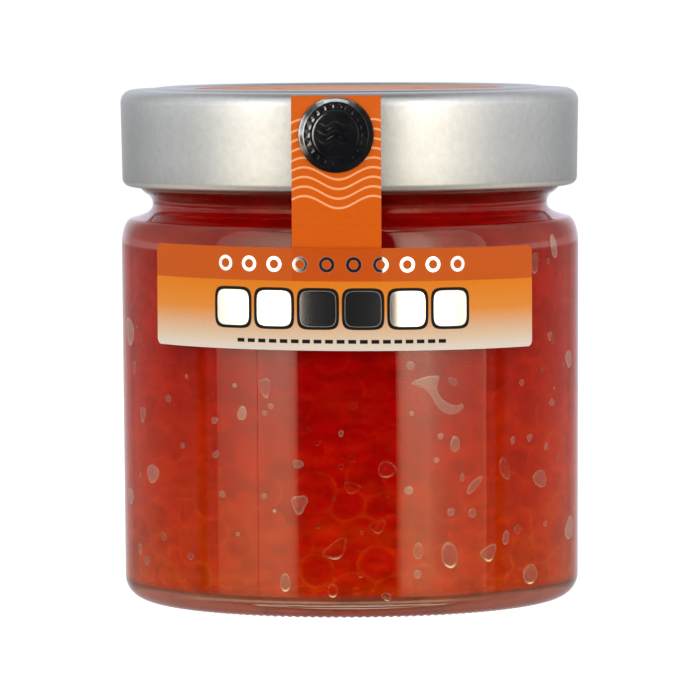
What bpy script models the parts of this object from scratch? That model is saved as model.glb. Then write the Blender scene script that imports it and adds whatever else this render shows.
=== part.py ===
"""Sealed round glass jar of salmon roe.

Units are metres, +Z is up and the origin is the centre of the jar's base,
on the plane that it stands on. The front label, the seal strip and the black
seal face -Y.

Every turned piece is a profile in the (radius, height) plane, worked out from
the sizes below, spun about Z. The paper pieces and the seal are patches bent
round the same axis.
"""

import math

import bmesh
import bpy

MM = 0.001
STEPS = 48  # facets round every turned piece

# Glass jar
BODY_R_TOP = 36.96  # outside radius just under the shoulder
BODY_R_LOW = 36.74  # outside radius just above the heel: the body tapers a little
WALL = 2.4
HEEL_R = 3.6  # rounding between the side and the base
FLOOR_Z = 2.6  # inside of the floor, beside the wall
FLOOR_CROWN = 1.7  # the floor swells this much towards the middle
FLOOR_FILLET = 2.4
RING_IN_R = 31.4  # the jar stands on a flat ring from here out to the heel
PUNT_R = 27.5
PUNT_H = 2.2  # the underside is domed up by this much
SHOULDER_Z = 57.3  # where the side begins to turn in
SHOULDER_TOP_Z = 62.45
SHOULDER_FLAT_R = 33.6
NECK_R = 31.9
NECK_Z = 64.3
BEAD_R = 34.0
BEAD_Z = 67.0
FINISH_R = 32.6
MOUTH_R = 29.2
MOUTH_Z = 81.15

# Twist-off lid
LID_R_TOP = 36.97
LID_R_LOW = 36.75
LID_LOW_Z = 66.7
LID_TOP_Z = 82.6  # top of the raised ring
LID_SHELF_Z = 82.2
LID_EDGE = 2.0  # rounding of the top edge
LID_SKIN = 0.6
CURL_R = 1.25  # half thickness of the rolled lower edge
RING_R = 30.0  # middle of the raised ring
RING_HALF = 1.5
PANEL_R = 26.6
PANEL_Z = 82.0
DISC_R = 25.3
DISC_T = 0.16

# Roe inside
ROE_GAP = 0.3
ROE_LEVEL = 72.0
EGG_PITCH = 5.6
EGG_RISE = 0.9

# Paper and seal
GAP = 0.08
PAPER = 0.11
LABEL_LOW_Z = 42.2
LABEL_HIGH_Z = 58.2
LABEL_HALF = 52.9  # degrees each side
LABEL_TURN = -2.4  # degrees, its middle sits a little to the left
LABEL_LEAN = -0.008  # rise per length: its right end sits a little lower
LABEL_CORNER = 1.0
STRIP_HALF = 7.0
STRIP_TURN = -3.3
STRIP_LOW_Z = 53.1  # its lower end lies under the front label
SEAL_Z = 75.8
SEAL_R = 5.9
SEAL_T = 1.0


def material(name, colour, roughness, metallic=0.0, transmission=0.0):
    mat = bpy.data.materials.new(name)
    mat.use_nodes = True
    shader = mat.node_tree.nodes["Principled BSDF"]
    shader.inputs["Base Color"].default_value = (*colour, 1.0)
    shader.inputs["Roughness"].default_value = roughness
    shader.inputs["Metallic"].default_value = metallic
    shader.inputs["Transmission Weight"].default_value = transmission
    mat.diffuse_color = (*colour, 1.0)
    return mat


def finish(name, bm, mat, angle=0.6):
    """Puts the closed bmesh into the scene as one object, faces out, shaded smooth."""
    bmesh.ops.remove_doubles(bm, verts=bm.verts, dist=1e-7)
    bmesh.ops.dissolve_degenerate(bm, edges=bm.edges, dist=1e-8)
    bmesh.ops.recalc_face_normals(bm, faces=bm.faces)
    mesh = bpy.data.meshes.new(name)
    bm.to_mesh(mesh)
    bm.free()
    mesh.materials.append(mat)
    mesh.shade_smooth()
    mesh.set_sharp_from_angle(angle=angle)
    obj = bpy.data.objects.new(name, mesh)
    bpy.context.scene.collection.objects.link(obj)
    return obj


def arc(cx, cz, r, a0, a1, n, rz=None):
    """n + 1 points of an arc about (cx, cz), from angle a0 to a1 in degrees."""
    rz = r if rz is None else rz
    out = []
    for i in range(n + 1):
        a = math.radians(a0 + (a1 - a0) * i / n)
        out.append((cx + r * math.cos(a), cz + rz * math.sin(a)))
    return out


def turned(name, profile, mat, closed=False):
    """Spins a profile, in mm, about Z. An open profile starts and ends on the axis."""
    bm = bmesh.new()
    verts = [bm.verts.new((r * MM, 0.0, z * MM)) for r, z in profile]
    edges = [bm.edges.new(pair) for pair in zip(verts, verts[1:])]
    if closed:
        edges.append(bm.edges.new((verts[-1], verts[0])))
    bmesh.ops.spin(
        bm,
        geom=verts + edges,
        cent=(0, 0, 0),
        axis=(0, 0, 1),
        angle=2 * math.pi,
        steps=STEPS,
        use_merge=True,
    )
    return finish(name, bm, mat)


def body_radius(z):
    """Outside radius of the jar's side at height z."""
    t = (z - HEEL_R) / (SHOULDER_Z - HEEL_R)
    return BODY_R_LOW + (BODY_R_TOP - BODY_R_LOW) * min(max(t, 0.0), 1.0)


def floor_rise(k):
    """How far the inside of the floor swells up, at the fraction k of its radius."""
    return FLOOR_CROWN * math.cos(k * math.pi / 2) ** 0.9


def jar_profile():
    """The glass from the middle of its underside, up the outside, over the lip and down the inside."""
    low_r = BODY_R_LOW
    outside = [(PUNT_R * k, PUNT_H * (1.0 - 0.62 * k**2.4)) for k in (0.0, 0.5, 0.8, 1.0)]
    outside += [(RING_IN_R - 0.8, 0.14), (RING_IN_R, 0.0)]
    outside += arc(low_r - HEEL_R, HEEL_R, HEEL_R, -90, 0, 5)
    outside += [(body_radius(30.0), 30.0), (body_radius(SHOULDER_Z), SHOULDER_Z)]
    # The shoulder turns in through a quarter of an ellipse, then runs almost level.
    corner_r = BODY_R_TOP - (SHOULDER_FLAT_R + 1.6)
    corner_h = SHOULDER_TOP_Z - 0.9 - SHOULDER_Z
    outside += arc(BODY_R_TOP - corner_r, SHOULDER_Z, corner_r, 15, 90, 5, corner_h)
    outside += [(SHOULDER_FLAT_R, SHOULDER_TOP_Z - 0.35)]
    outside += [(NECK_R + 0.6, SHOULDER_TOP_Z + 0.05), (NECK_R, NECK_Z - 0.5)]
    outside += [(NECK_R, NECK_Z), (NECK_R + 0.6, NECK_Z + 0.9)]
    outside += [(BEAD_R - 0.6, BEAD_Z - 1.2), (BEAD_R, BEAD_Z - 0.5)]
    outside += [(BEAD_R, BEAD_Z + 0.6), (FINISH_R, BEAD_Z + 1.6)]
    outside += [(FINISH_R, MOUTH_Z - 1.6), (FINISH_R - 1.2, MOUTH_Z - 0.3)]
    outside += [(FINISH_R - 1.9, MOUTH_Z), (MOUTH_R + 0.5, MOUTH_Z)]
    in_r = BODY_R_TOP - WALL
    low_in_r = BODY_R_LOW - WALL
    inside = [(MOUTH_R, MOUTH_Z - 0.5), (MOUTH_R, SHOULDER_TOP_Z + 1.2)]
    neck_turn = 2.2
    inside += arc(
        MOUTH_R + neck_turn,
        SHOULDER_TOP_Z + 1.2,
        neck_turn,
        200,
        255,
        2,
        neck_turn + 0.6,
    )
    inside += [(in_r - 0.9, SHOULDER_Z + 1.6), (in_r, SHOULDER_Z - 1.6)]
    inside += [(low_in_r, FLOOR_Z + FLOOR_FILLET)]
    inside += arc(
        low_in_r - FLOOR_FILLET,
        FLOOR_Z + FLOOR_FILLET,
        FLOOR_FILLET,
        -22.5,
        -90,
        3,
    )
    end = low_in_r - FLOOR_FILLET
    inside += [(end * k, FLOOR_Z + floor_rise(k)) for k in (0.75, 0.45, 0.0)]
    return outside + inside


def lid_profile():
    """Closed section of the lid: outside from its middle down to the curl, then back inside."""
    out = [(0.0, PANEL_Z), (PANEL_R, PANEL_Z), (PANEL_R + 0.9, PANEL_Z + 0.16)]
    out += [(RING_R - RING_HALF, LID_SHELF_Z)]
    out += arc(RING_R, LID_SHELF_Z, RING_HALF * 0.9, 150, 30, 4, LID_TOP_Z - LID_SHELF_Z)
    out += [(RING_R + RING_HALF + 0.3, LID_SHELF_Z)]
    out += arc(
        LID_R_TOP - LID_EDGE, LID_SHELF_Z - LID_EDGE, LID_EDGE, 90, 0, 6
    )
    # The rolled edge: round below, tucked in behind the skirt.
    out += arc(LID_R_LOW - CURL_R, LID_LOW_Z + CURL_R, CURL_R, 0, -180, 6)
    inner = LID_R_LOW - LID_SKIN
    out += [(LID_R_LOW - 2 * CURL_R + 0.3, LID_LOW_Z + CURL_R + 0.9)]
    out += [(inner, LID_LOW_Z + 2 * CURL_R + 0.5)]
    out += [(LID_R_TOP - LID_SKIN, LID_SHELF_Z - LID_EDGE - 0.2)]
    out += [(LID_R_TOP - LID_SKIN - 1.3, LID_SHELF_Z - LID_SKIN - 0.1)]
    out += [(PANEL_R + 1.5, PANEL_Z - LID_SKIN + 0.1), (PANEL_R, PANEL_Z - LID_SKIN)]
    out += [(0.0, PANEL_Z - LID_SKIN)]
    return out


def roe_object(mat):
    """The packed eggs: smooth against the glass, and an uneven top made of egg-sized bumps."""
    low_r = BODY_R_LOW - WALL - ROE_GAP
    top_r = BODY_R_TOP - WALL - ROE_GAP
    neck_r = MOUTH_R - ROE_GAP
    z0 = FLOOR_Z + ROE_GAP
    end = low_r - FLOOR_FILLET
    side = [(end * k, z0 + floor_rise(k) + 0.05) for k in (0.0, 0.45, 0.75)]
    side += arc(low_r - FLOOR_FILLET, z0 + FLOOR_FILLET, FLOOR_FILLET, -90, 0, 3)
    side += [(top_r, SHOULDER_Z - 1.9), (top_r - 1.1, SHOULDER_Z + 1.0)]
    side += [(neck_r + 1.1, SHOULDER_TOP_Z - 1.9), (neck_r, SHOULDER_TOP_Z + 1.0)]
    side += [(neck_r, ROE_LEVEL)]
    rings = 9
    top = [(neck_r * (1 - i / rings), ROE_LEVEL) for i in range(1, rings)]
    obj_profile = side + top + [(0.0, ROE_LEVEL)]
    bm = bmesh.new()
    verts = [bm.verts.new((r * MM, 0.0, z * MM)) for r, z in obj_profile]
    edges = [bm.edges.new(pair) for pair in zip(verts, verts[1:])]
    bmesh.ops.spin(
        bm,
        geom=verts + edges,
        cent=(0, 0, 0),
        axis=(0, 0, 1),
        angle=2 * math.pi,
        steps=STEPS,
        use_merge=True,
    )
    bmesh.ops.remove_doubles(bm, verts=bm.verts, dist=1e-7)
    for v in bm.verts:
        if v.co.z > (ROE_LEVEL - 0.01) * MM:
            v.co.z += bump(v.co.x / MM, v.co.y / MM) * EGG_RISE * MM
    return finish("roe", bm, mat, angle=1.2)


def bump(x, y):
    """Height, 0 to 1, of a layer of round eggs on a triangular lattice."""
    row = EGG_PITCH * math.sqrt(3) / 2
    best = 1e9
    j0 = round(y / row)
    for j in (j0 - 1, j0, j0 + 1):
        shift = 0.5 * EGG_PITCH * (j % 2)
        i0 = round((x - shift) / EGG_PITCH)
        for i in (i0 - 1, i0, i0 + 1):
            dx, dy = x - (i * EGG_PITCH + shift), y - j * row
            best = min(best, math.hypot(dx, dy))
    t = min(best / (EGG_PITCH * 0.6), 1.0)
    return math.sqrt(max(1.0 - t * t, 0.0))


def on_cylinder(r, turn_deg, arc_mm, z):
    """A point at radius r, arc_mm along the radius from the angle turn_deg, which is 0 at -Y."""
    a = math.radians(turn_deg) + arc_mm / r
    return (r * math.sin(a) * MM, -r * math.cos(a) * MM, z * MM)


def bent_sheet(name, mat, columns, path, turn, radius_of):
    """A thin closed sheet. columns: arc positions across it. path(column): the heights of its rows."""
    bm = bmesh.new()
    front, back = [], []
    for u in columns:
        rows = path(u)
        front.append([])
        back.append([])
        for z in rows:
            r = radius_of(z, u)
            front[-1].append(
                bm.verts.new(on_cylinder(r + PAPER, turn, u * (r + PAPER) / r, z))
            )
            back[-1].append(bm.verts.new(on_cylinder(r, turn, u, z)))
    nu, nz = len(columns), len(front[0])
    for i in range(nu - 1):
        for j in range(nz - 1):
            bm.faces.new(
                (front[i][j], front[i + 1][j], front[i + 1][j + 1], front[i][j + 1])
            )
            bm.faces.new(
                (back[i][j], back[i][j + 1], back[i + 1][j + 1], back[i + 1][j])
            )
    for i in range(nu - 1):
        for j in (0, nz - 1):
            bm.faces.new((front[i][j], front[i + 1][j], back[i + 1][j], back[i][j]))
    for j in range(nz - 1):
        for i in (0, nu - 1):
            bm.faces.new((front[i][j], front[i][j + 1], back[i][j + 1], back[i][j]))
    return finish(name, bm, mat, angle=0.5)


def label_object(mat):
    """Front label, with rounded corners."""
    radius = body_radius(LABEL_HIGH_Z) + GAP
    half = math.radians(LABEL_HALF) * radius
    cols = [-half + LABEL_CORNER * (1 - math.cos(k * math.pi / 8)) for k in range(4)]
    inner = half - LABEL_CORNER
    count = 26
    cols += [-inner + 2 * inner * i / count for i in range(count + 1)]
    middle = math.radians(STRIP_TURN - LABEL_TURN) * radius
    for side in (-1, 1):
        for past in (0.35, 1.25):
            cols.append(middle + side * (STRIP_HALF + past))
    cols += [half - LABEL_CORNER * (1 - math.cos(k * math.pi / 8)) for k in (3, 2, 1, 0)]
    cols.sort()

    def rows(u):
        past = max(abs(u) - inner, 0.0)
        cut = LABEL_CORNER - math.sqrt(max(LABEL_CORNER**2 - past**2, 0.0))
        low, high = LABEL_LOW_Z + cut, LABEL_HIGH_Z - cut
        lean = LABEL_LEAN * u
        return [z + lean for z in (low, 47.5, STRIP_LOW_Z - 1.1, STRIP_LOW_Z + 0.1, high)]

    return bent_sheet("front_label", mat, cols, rows, LABEL_TURN, label_radius)


def label_radius(z, u):
    """Inside radius of the front label: on the glass, and raised over the strip's lower end."""
    middle = math.radians(STRIP_TURN - LABEL_TURN) * BODY_R_TOP
    aside = min(max((abs(u - middle) - STRIP_HALF - 0.35) / 0.9, 0.0), 1.0)
    below = min(max((STRIP_LOW_Z - 0.2 - z) / 0.8, 0.0), 1.0)
    return body_radius(z) + GAP + (PAPER + GAP) * (1.0 - aside) * (1.0 - below)


def strip_radius(z):
    """Inside radius of the strip: over the lid's edge, down the skirt, across to the glass, under the label."""
    edge_z = LID_SHELF_Z - LID_EDGE
    if z > edge_z:
        d = min((z - edge_z) / (LID_EDGE + GAP), 1.0)
        return LID_R_TOP - LID_EDGE + (LID_EDGE + GAP) * math.sqrt(1.0 - d * d)
    curl_z = LID_LOW_Z + CURL_R
    if z > curl_z:
        t = (z - curl_z) / (edge_z - curl_z)
        return LID_R_LOW + (LID_R_TOP - LID_R_LOW) * t + GAP
    on_glass = body_radius(z) + GAP
    t = min(max((z - LABEL_HIGH_Z - 0.6) / (curl_z - LABEL_HIGH_Z - 0.6), 0.0), 1.0)
    return on_glass + (LID_R_LOW + GAP - on_glass) * t


def strip_object(mat):
    """Seal strip, from the lid's top edge down under the front label."""
    count = 10
    cols = [-STRIP_HALF + 2 * STRIP_HALF * i / count for i in range(count + 1)]
    edge_z = LID_SHELF_Z - LID_EDGE
    reach = (LID_EDGE + GAP) * 0.8
    heights = [STRIP_LOW_Z, 56.0, LABEL_HIGH_Z + 0.6, 62.0, 65.0]
    heights += [LID_LOW_Z + CURL_R, 71.0, 74.0, 77.0, edge_z]
    heights += [edge_z + reach * math.sin(math.radians(a)) for a in (22, 45, 68, 90)]
    return bent_sheet(
        "seal_strip", mat, cols, lambda u: heights, STRIP_TURN, lambda z, u: strip_radius(z)
    )


def seal_relief(rho):
    """Thickness of the round seal at rho from its middle: a domed face inside a raised rim."""
    t = rho / SEAL_R
    if t > 0.99:
        return 0.30
    if t > 0.86:
        s = (t - 0.925) / 0.065
        return 0.30 + 0.42 * math.sqrt(max(1.0 - s * s, 0.0))
    return 0.36 + (SEAL_T - 0.36) * math.sqrt(max(1.0 - (t / 0.9) ** 2, 0.0))


def seal_object(mat):
    base_r = strip_radius(SEAL_Z) + PAPER + GAP
    levels = [0.12, 0.28, 0.45, 0.6, 0.72, 0.8, 0.86, 0.89, 0.925, 0.96, 1.0]
    around = 40
    bm = bmesh.new()

    def point(t, k, r):
        a = 2 * math.pi * k / around
        return on_cylinder(
            r, STRIP_TURN, SEAL_R * t * math.cos(a), SEAL_Z + SEAL_R * t * math.sin(a)
        )

    top = bm.verts.new(on_cylinder(base_r + seal_relief(0), STRIP_TURN, 0, SEAL_Z))
    bottom = bm.verts.new(on_cylinder(base_r, STRIP_TURN, 0, SEAL_Z))
    front = [
        [bm.verts.new(point(t, k, base_r + seal_relief(t * SEAL_R))) for k in range(around)]
        for t in levels
    ]
    back = [
        [bm.verts.new(point(t, k, base_r)) for k in range(around)]
        for t in (0.5, 1.0)
    ]
    for k in range(around):
        n = (k + 1) % around
        bm.faces.new((top, front[0][k], front[0][n]))
        bm.faces.new((bottom, back[0][n], back[0][k]))
        for a, b in zip(front, front[1:]):
            bm.faces.new((a[k], b[k], b[n], a[n]))
        bm.faces.new((back[0][k], back[0][n], back[1][n], back[1][k]))
        bm.faces.new((front[-1][k], back[1][k], back[1][n], front[-1][n]))
    return finish("black_seal", bm, mat, angle=0.8)


def disc_profile():
    z = PANEL_Z + GAP
    return [
        (0.0, z),
        (DISC_R, z),
        (DISC_R, z + DISC_T),
        (0.0, z + DISC_T),
    ]


def main():
    for obj in list(bpy.data.objects):
        bpy.data.objects.remove(obj, do_unlink=True)
    glass = material("glass", (0.9, 0.95, 0.93), 0.02, 0.0, 1.0)
    roe = material("roe", (0.55, 0.05, 0.01), 0.25)
    metal = material("satin_silver", (0.62, 0.63, 0.63), 0.35, 1.0)
    orange = material("orange_paper", (0.72, 0.14, 0.015), 0.5)
    print_mat = material("label_paper", (0.75, 0.35, 0.12), 0.5)
    peach = material("peach_paper", (0.72, 0.28, 0.14), 0.5)
    black = material("black_gloss", (0.012, 0.012, 0.013), 0.12)

    turned("jar", jar_profile(), glass)
    roe_object(roe)
    turned("lid", lid_profile(), metal)
    turned("lid_disc", disc_profile(), peach)
    label_object(print_mat)
    strip_object(orange)
    seal_object(black)


main()
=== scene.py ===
"""Looks of the sealed glass jar of salmon roe.

The sizes repeat those of the CAD model, in millimetres, with the outlines
worked out more finely. +Z is up, the front label faces -Y, and every turned
piece is spun about Z.
"""

import math

import bpy
import numpy as np
from mathutils import Matrix, Vector

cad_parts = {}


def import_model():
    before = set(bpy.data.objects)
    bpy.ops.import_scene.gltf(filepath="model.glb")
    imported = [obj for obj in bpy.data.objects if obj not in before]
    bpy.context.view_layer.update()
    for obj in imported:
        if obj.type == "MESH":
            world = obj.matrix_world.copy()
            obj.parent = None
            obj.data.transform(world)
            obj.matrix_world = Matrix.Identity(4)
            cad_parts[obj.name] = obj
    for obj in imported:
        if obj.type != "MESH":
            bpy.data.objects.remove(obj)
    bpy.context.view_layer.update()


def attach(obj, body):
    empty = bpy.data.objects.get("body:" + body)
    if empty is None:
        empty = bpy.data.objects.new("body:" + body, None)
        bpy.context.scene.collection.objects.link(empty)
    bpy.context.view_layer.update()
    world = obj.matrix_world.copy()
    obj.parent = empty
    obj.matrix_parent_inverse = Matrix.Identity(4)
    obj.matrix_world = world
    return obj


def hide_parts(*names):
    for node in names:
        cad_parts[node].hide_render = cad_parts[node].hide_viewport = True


MM = 0.001
PI = math.pi

# ---------------------------------------------------------------- sizes, mm
BODY_R_TOP = 36.96
BODY_R_LOW = 36.74
WALL = 2.4
HEEL_R = 3.6
FLOOR_Z = 2.6
FLOOR_CROWN = 1.7
FLOOR_FILLET = 2.4
RING_IN_R = 31.4
PUNT_R = 27.5
PUNT_H = 2.2
SHOULDER_Z = 57.3
SHOULDER_TOP_Z = 62.45
SHOULDER_FLAT_R = 33.6
NECK_R = 31.9
NECK_Z = 64.3
BEAD_R = 34.0
BEAD_Z = 67.0
FINISH_R = 32.6
MOUTH_R = 29.2
MOUTH_Z = 81.15

LID_R_TOP = 36.97
LID_R_LOW = 36.75
LID_LOW_Z = 66.7
LID_TOP_Z = 82.6
LID_SHELF_Z = 82.2
LID_EDGE = 2.0
LID_SKIN = 0.6
CURL_R = 1.25
RING_R = 30.0
RING_HALF = 1.5
PANEL_R = 26.6
PANEL_Z = 82.0
DISC_R = 25.3
DISC_T = 0.16

ROE_LEVEL = 72.0
EGG_R = 3.3
EGG_PITCH = 5.3
CORE_DEPTH = -0.004

GAP = 0.08
PAPER = 0.11
LABEL_LOW_Z = 42.2
LABEL_HIGH_Z = 58.2
LABEL_HALF = 52.9
LABEL_TURN = -2.4
LABEL_LEAN = -0.008
LABEL_CORNER = 1.0
STRIP_HALF = 7.0
STRIP_TURN = -3.3
STRIP_LOW_Z = 53.1
SEAL_Z = 75.8
SEAL_R = 5.9
SEAL_T = 1.0


def body_radius(z):
    t = (z - HEEL_R) / (SHOULDER_Z - HEEL_R)
    return BODY_R_LOW + (BODY_R_TOP - BODY_R_LOW) * min(max(t, 0.0), 1.0)


def arc(cx, cz, r, a0, a1, n, rz=None):
    rz = r if rz is None else rz
    return [
        (
            cx + r * math.cos(math.radians(a0 + (a1 - a0) * i / n)),
            cz + rz * math.sin(math.radians(a0 + (a1 - a0) * i / n)),
        )
        for i in range(n + 1)
    ]


def line(p, q, n):
    """Points from p to q, without q."""
    return [(p[0] + (q[0] - p[0]) * i / n, p[1] + (q[1] - p[1]) * i / n) for i in range(n)]


def rounded(points, radius, n=5):
    """The open polyline with every inner corner turned through an arc-like curve."""
    out = [points[0]]
    for a, b, c in zip(points, points[1:], points[2:]):
        a, b, c = (np.array(p, float) for p in (a, b, c))
        la, lc = np.linalg.norm(a - b), np.linalg.norm(c - b)
        cut = min(radius, 0.46 * la, 0.46 * lc)
        p0, p2 = b + (a - b) / la * cut, b + (c - b) / lc * cut
        for i in range(n + 1):
            t = i / n
            out.append(tuple((1 - t) ** 2 * p0 + 2 * t * (1 - t) * b + t * t * p2))
    out.append(points[-1])
    return out


# ---------------------------------------------------------------- mesh helpers
def new_mesh(name, verts, faces, mats, mat_ids=None, attrs=None, sharp=None):
    """One object from millimetre points. attrs: {name: values on points, 1 or 3 wide}."""
    verts = np.asarray(verts, np.float64) * MM
    mesh = bpy.data.meshes.new(name)
    mesh.from_pydata(verts.tolist(), [], faces)
    for m in mats:
        mesh.materials.append(m)
    if mat_ids is not None:
        mesh.polygons.foreach_set("material_index", np.asarray(mat_ids, np.int32))
    for key, values in (attrs or {}).items():
        values = np.asarray(values, np.float32)
        if values.ndim == 1:
            layer = mesh.attributes.new(key, "FLOAT", "POINT")
            layer.data.foreach_set("value", values)
        else:
            layer = mesh.attributes.new(key, "FLOAT_VECTOR", "POINT")
            layer.data.foreach_set("vector", values.ravel())
    mesh.shade_smooth()
    if sharp is not None:
        mesh.set_sharp_from_angle(angle=sharp)
    mesh.update()
    obj = bpy.data.objects.new(name, mesh)
    bpy.context.scene.collection.objects.link(obj)
    return obj


def revolve(name, profile, steps, mats, pick=None, closed=False, relief=None, sharp=0.6):
    """Spins (r, z) points about Z. An open profile runs from axis to axis."""
    profile = np.asarray(profile, float)
    if not closed:
        first, last = profile[0], profile[-1]
        ring_pts = profile[1:-1]
    else:
        ring_pts = profile
    n, m = len(ring_pts), steps
    ang = np.arange(m) * 2 * PI / m
    r = np.repeat(ring_pts[:, :1], m, 1)
    z = np.repeat(ring_pts[:, 1:], m, 1)
    if relief is not None:
        r, z = relief(r, z, ang[None, :])
    x, y = r * np.sin(ang), -r * np.cos(ang)
    verts = np.stack([x, y, z], -1).reshape(-1, 3)
    faces, ids = [], []
    rows = range(n if closed else n - 1)
    for i in rows:
        a, b = i * m, ((i + 1) % n) * m
        which = 0 if pick is None else pick(ring_pts[i], ring_pts[(i + 1) % n])
        for k in range(m):
            q = (k + 1) % m
            faces.append((a + k, a + q, b + q, b + k))
        ids += [which] * m
    if not closed:
        verts = np.vstack([verts, [0, 0, first[1]], [0, 0, last[1]]])
        c0, c1 = n * m, n * m + 1
        which0 = 0 if pick is None else pick(first, ring_pts[0])
        which1 = 0 if pick is None else pick(ring_pts[-1], last)
        for k in range(m):
            q = (k + 1) % m
            faces.append((c0, q, k))
            ids.append(which0)
            faces.append((c1, (n - 1) * m + k, (n - 1) * m + q))
            ids.append(which1)
    return new_mesh(name, verts, faces, mats, ids, sharp=sharp)


def on_cylinder(r, turn_deg, arc_mm, z):
    a = math.radians(turn_deg) + arc_mm / r
    return (r * math.sin(a), -r * math.cos(a), z)


# ---------------------------------------------------------------- node helper
class Shade:
    """A short way to write a node material."""

    def __init__(self, name):
        self.mat = bpy.data.materials.new(name)
        self.mat.use_nodes = True
        self.tree = self.mat.node_tree
        self.tree.nodes.clear()
        self.out = self.tree.nodes.new("ShaderNodeOutputMaterial")

    def node(self, kind, **settings):
        n = self.tree.nodes.new(kind)
        for key, value in settings.items():
            setattr(n, key, value)
        return n

    def put(self, socket, value):
        if isinstance(value, bpy.types.NodeSocket):
            self.tree.links.new(value, socket)
        elif value is not None:
            if isinstance(value, (tuple, list)) and len(value) == 3 and socket.type == "RGBA":
                value = (*value, 1.0)
            socket.default_value = value

    def math(self, op, a, b=None, c=None, clamp=False):
        n = self.node("ShaderNodeMath", operation=op, use_clamp=clamp)
        for socket, value in zip(n.inputs, (a, b, c)):
            self.put(socket, value)
        return n.outputs[0]

    def attr(self, name, out="Fac"):
        return self.node("ShaderNodeAttribute", attribute_name=name).outputs[out]

    def xyz(self, vector):
        n = self.node("ShaderNodeSeparateXYZ")
        self.put(n.inputs[0], vector)
        return n.outputs

    def place(self):
        return self.node("ShaderNodeTexCoord").outputs["Object"]

    def mix(self, fac, a, b, blend="MIX"):
        n = self.node("ShaderNodeMix", data_type="RGBA", blend_type=blend)
        self.put(n.inputs[0], fac)
        self.put(n.inputs[6], a)
        self.put(n.inputs[7], b)
        return n.outputs[2]

    def ramp(self, fac, stops, smooth=False):
        n = self.node("ShaderNodeValToRGB")
        ramp = n.color_ramp
        ramp.interpolation = "B_SPLINE" if smooth else "LINEAR"
        while len(ramp.elements) < len(stops):
            ramp.elements.new(0.5)
        for e, (pos, colour) in zip(ramp.elements, stops):
            e.position = pos
            e.color = (*colour, 1.0) if isinstance(colour, tuple) else (colour,) * 3 + (1.0,)
        self.put(n.inputs[0], fac)
        return n.outputs[0]

    def noise(self, vector, scale, detail=2.0, rough=0.5, out="Fac"):
        n = self.node("ShaderNodeTexNoise")
        self.put(n.inputs["Vector"], vector)
        n.inputs["Scale"].default_value = scale
        n.inputs["Detail"].default_value = detail
        n.inputs["Roughness"].default_value = rough
        return n.outputs[out]

    def span(self, value, lo, hi, to_lo=0.0, to_hi=1.0):
        n = self.node("ShaderNodeMapRange", clamp=True)
        for socket, v in zip(n.inputs, (value, lo, hi, to_lo, to_hi)):
            self.put(socket, v)
        return n.outputs[0]

    def bump(self, height, strength, distance):
        n = self.node("ShaderNodeBump")
        n.inputs["Strength"].default_value = strength
        n.inputs["Distance"].default_value = distance
        self.put(n.inputs["Height"], height)
        return n.outputs[0]

    def principled(self, **inputs):
        n = self.node("ShaderNodeBsdfPrincipled")
        for key, value in inputs.items():
            self.put(n.inputs[key.replace("_", " ")], value)
        return n.outputs[0]

    def done(self, shader):
        self.tree.links.new(shader, self.out.inputs["Surface"])
        return self.mat


# ---------------------------------------------------------------- materials
def glass_material():
    s = Shade("clear_glass")
    wave = s.noise(s.place(), 38.0, 1.0)
    normal = s.bump(wave, 0.06, 0.0006)
    z = s.xyz(s.place())[2]
    foot = s.span(z, 0.0026, 0.0050)
    # Painted reflection: what the neck mirrors is tinted warm, most towards its sides, and darkened as painted shade in
    # its groove.
    aside = s.span(s.math("ABSOLUTE", s.xyz(s.place())[0]), 0.018, 0.026)
    warm = s.mix(aside, (1.0, 0.93, 0.74), (1.0, 0.84, 0.46))
    painted_reflection_tint = s.mix(s.span(z, 0.0568, 0.0590), (1.0, 1.0, 1.0), warm)
    groove_painted_shade = s.math("MULTIPLY", s.span(z, 0.0624, 0.0628), s.span(z, 0.0641, 0.0645, 1.0, 0.0))
    painted_reflection_tint = s.mix(groove_painted_shade, painted_reflection_tint, (0.42, 0.34, 0.26))
    shader = s.principled(
        Base_Color=s.mix(foot, (0.76, 0.76, 0.66), (0.93, 0.975, 0.955)),
        Roughness=0.0,
        IOR=1.5,
        Specular_Tint=painted_reflection_tint,
        Transmission_Weight=1.0,
        Normal=normal,
    )
    path = s.node("ShaderNodeLightPath")
    clear = s.node("ShaderNodeBsdfTransparent")
    clear.inputs[0].default_value = (0.94, 0.965, 0.955, 1.0)
    through = s.math(
        "MAXIMUM", path.outputs["Is Shadow Ray"], path.outputs["Is Diffuse Ray"]
    )
    mix = s.node("ShaderNodeMixShader")
    s.put(mix.inputs[0], through)
    s.put(mix.inputs[1], shader)
    s.put(mix.inputs[2], clear.outputs[0])
    return s.done(mix.outputs[0])


def wet_glass_material():
    """Inside face of the glass where the roe's liquid lies against it, so it bends light only a little."""
    s = Shade("glass_wet_inside")
    shader = s.principled(
        Base_Color=(1.0, 1.0, 1.0),
        Roughness=0.0,
        IOR=1.12,
        Transmission_Weight=1.0,
    )
    path = s.node("ShaderNodeLightPath")
    clear = s.node("ShaderNodeBsdfTransparent")
    clear.inputs[0].default_value = (1.0, 1.0, 1.0, 1.0)
    through = s.math(
        "MAXIMUM", path.outputs["Is Shadow Ray"], path.outputs["Is Diffuse Ray"]
    )
    mix = s.node("ShaderNodeMixShader")
    s.put(mix.inputs[0], through)
    s.put(mix.inputs[1], shader)
    s.put(mix.inputs[2], clear.outputs[0])
    return s.done(mix.outputs[0])


def roe_height(s):
    """0 at the floor of the jar, 1 in the neck."""
    return s.span(s.xyz(s.place())[2], 0.003, 0.068)


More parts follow.
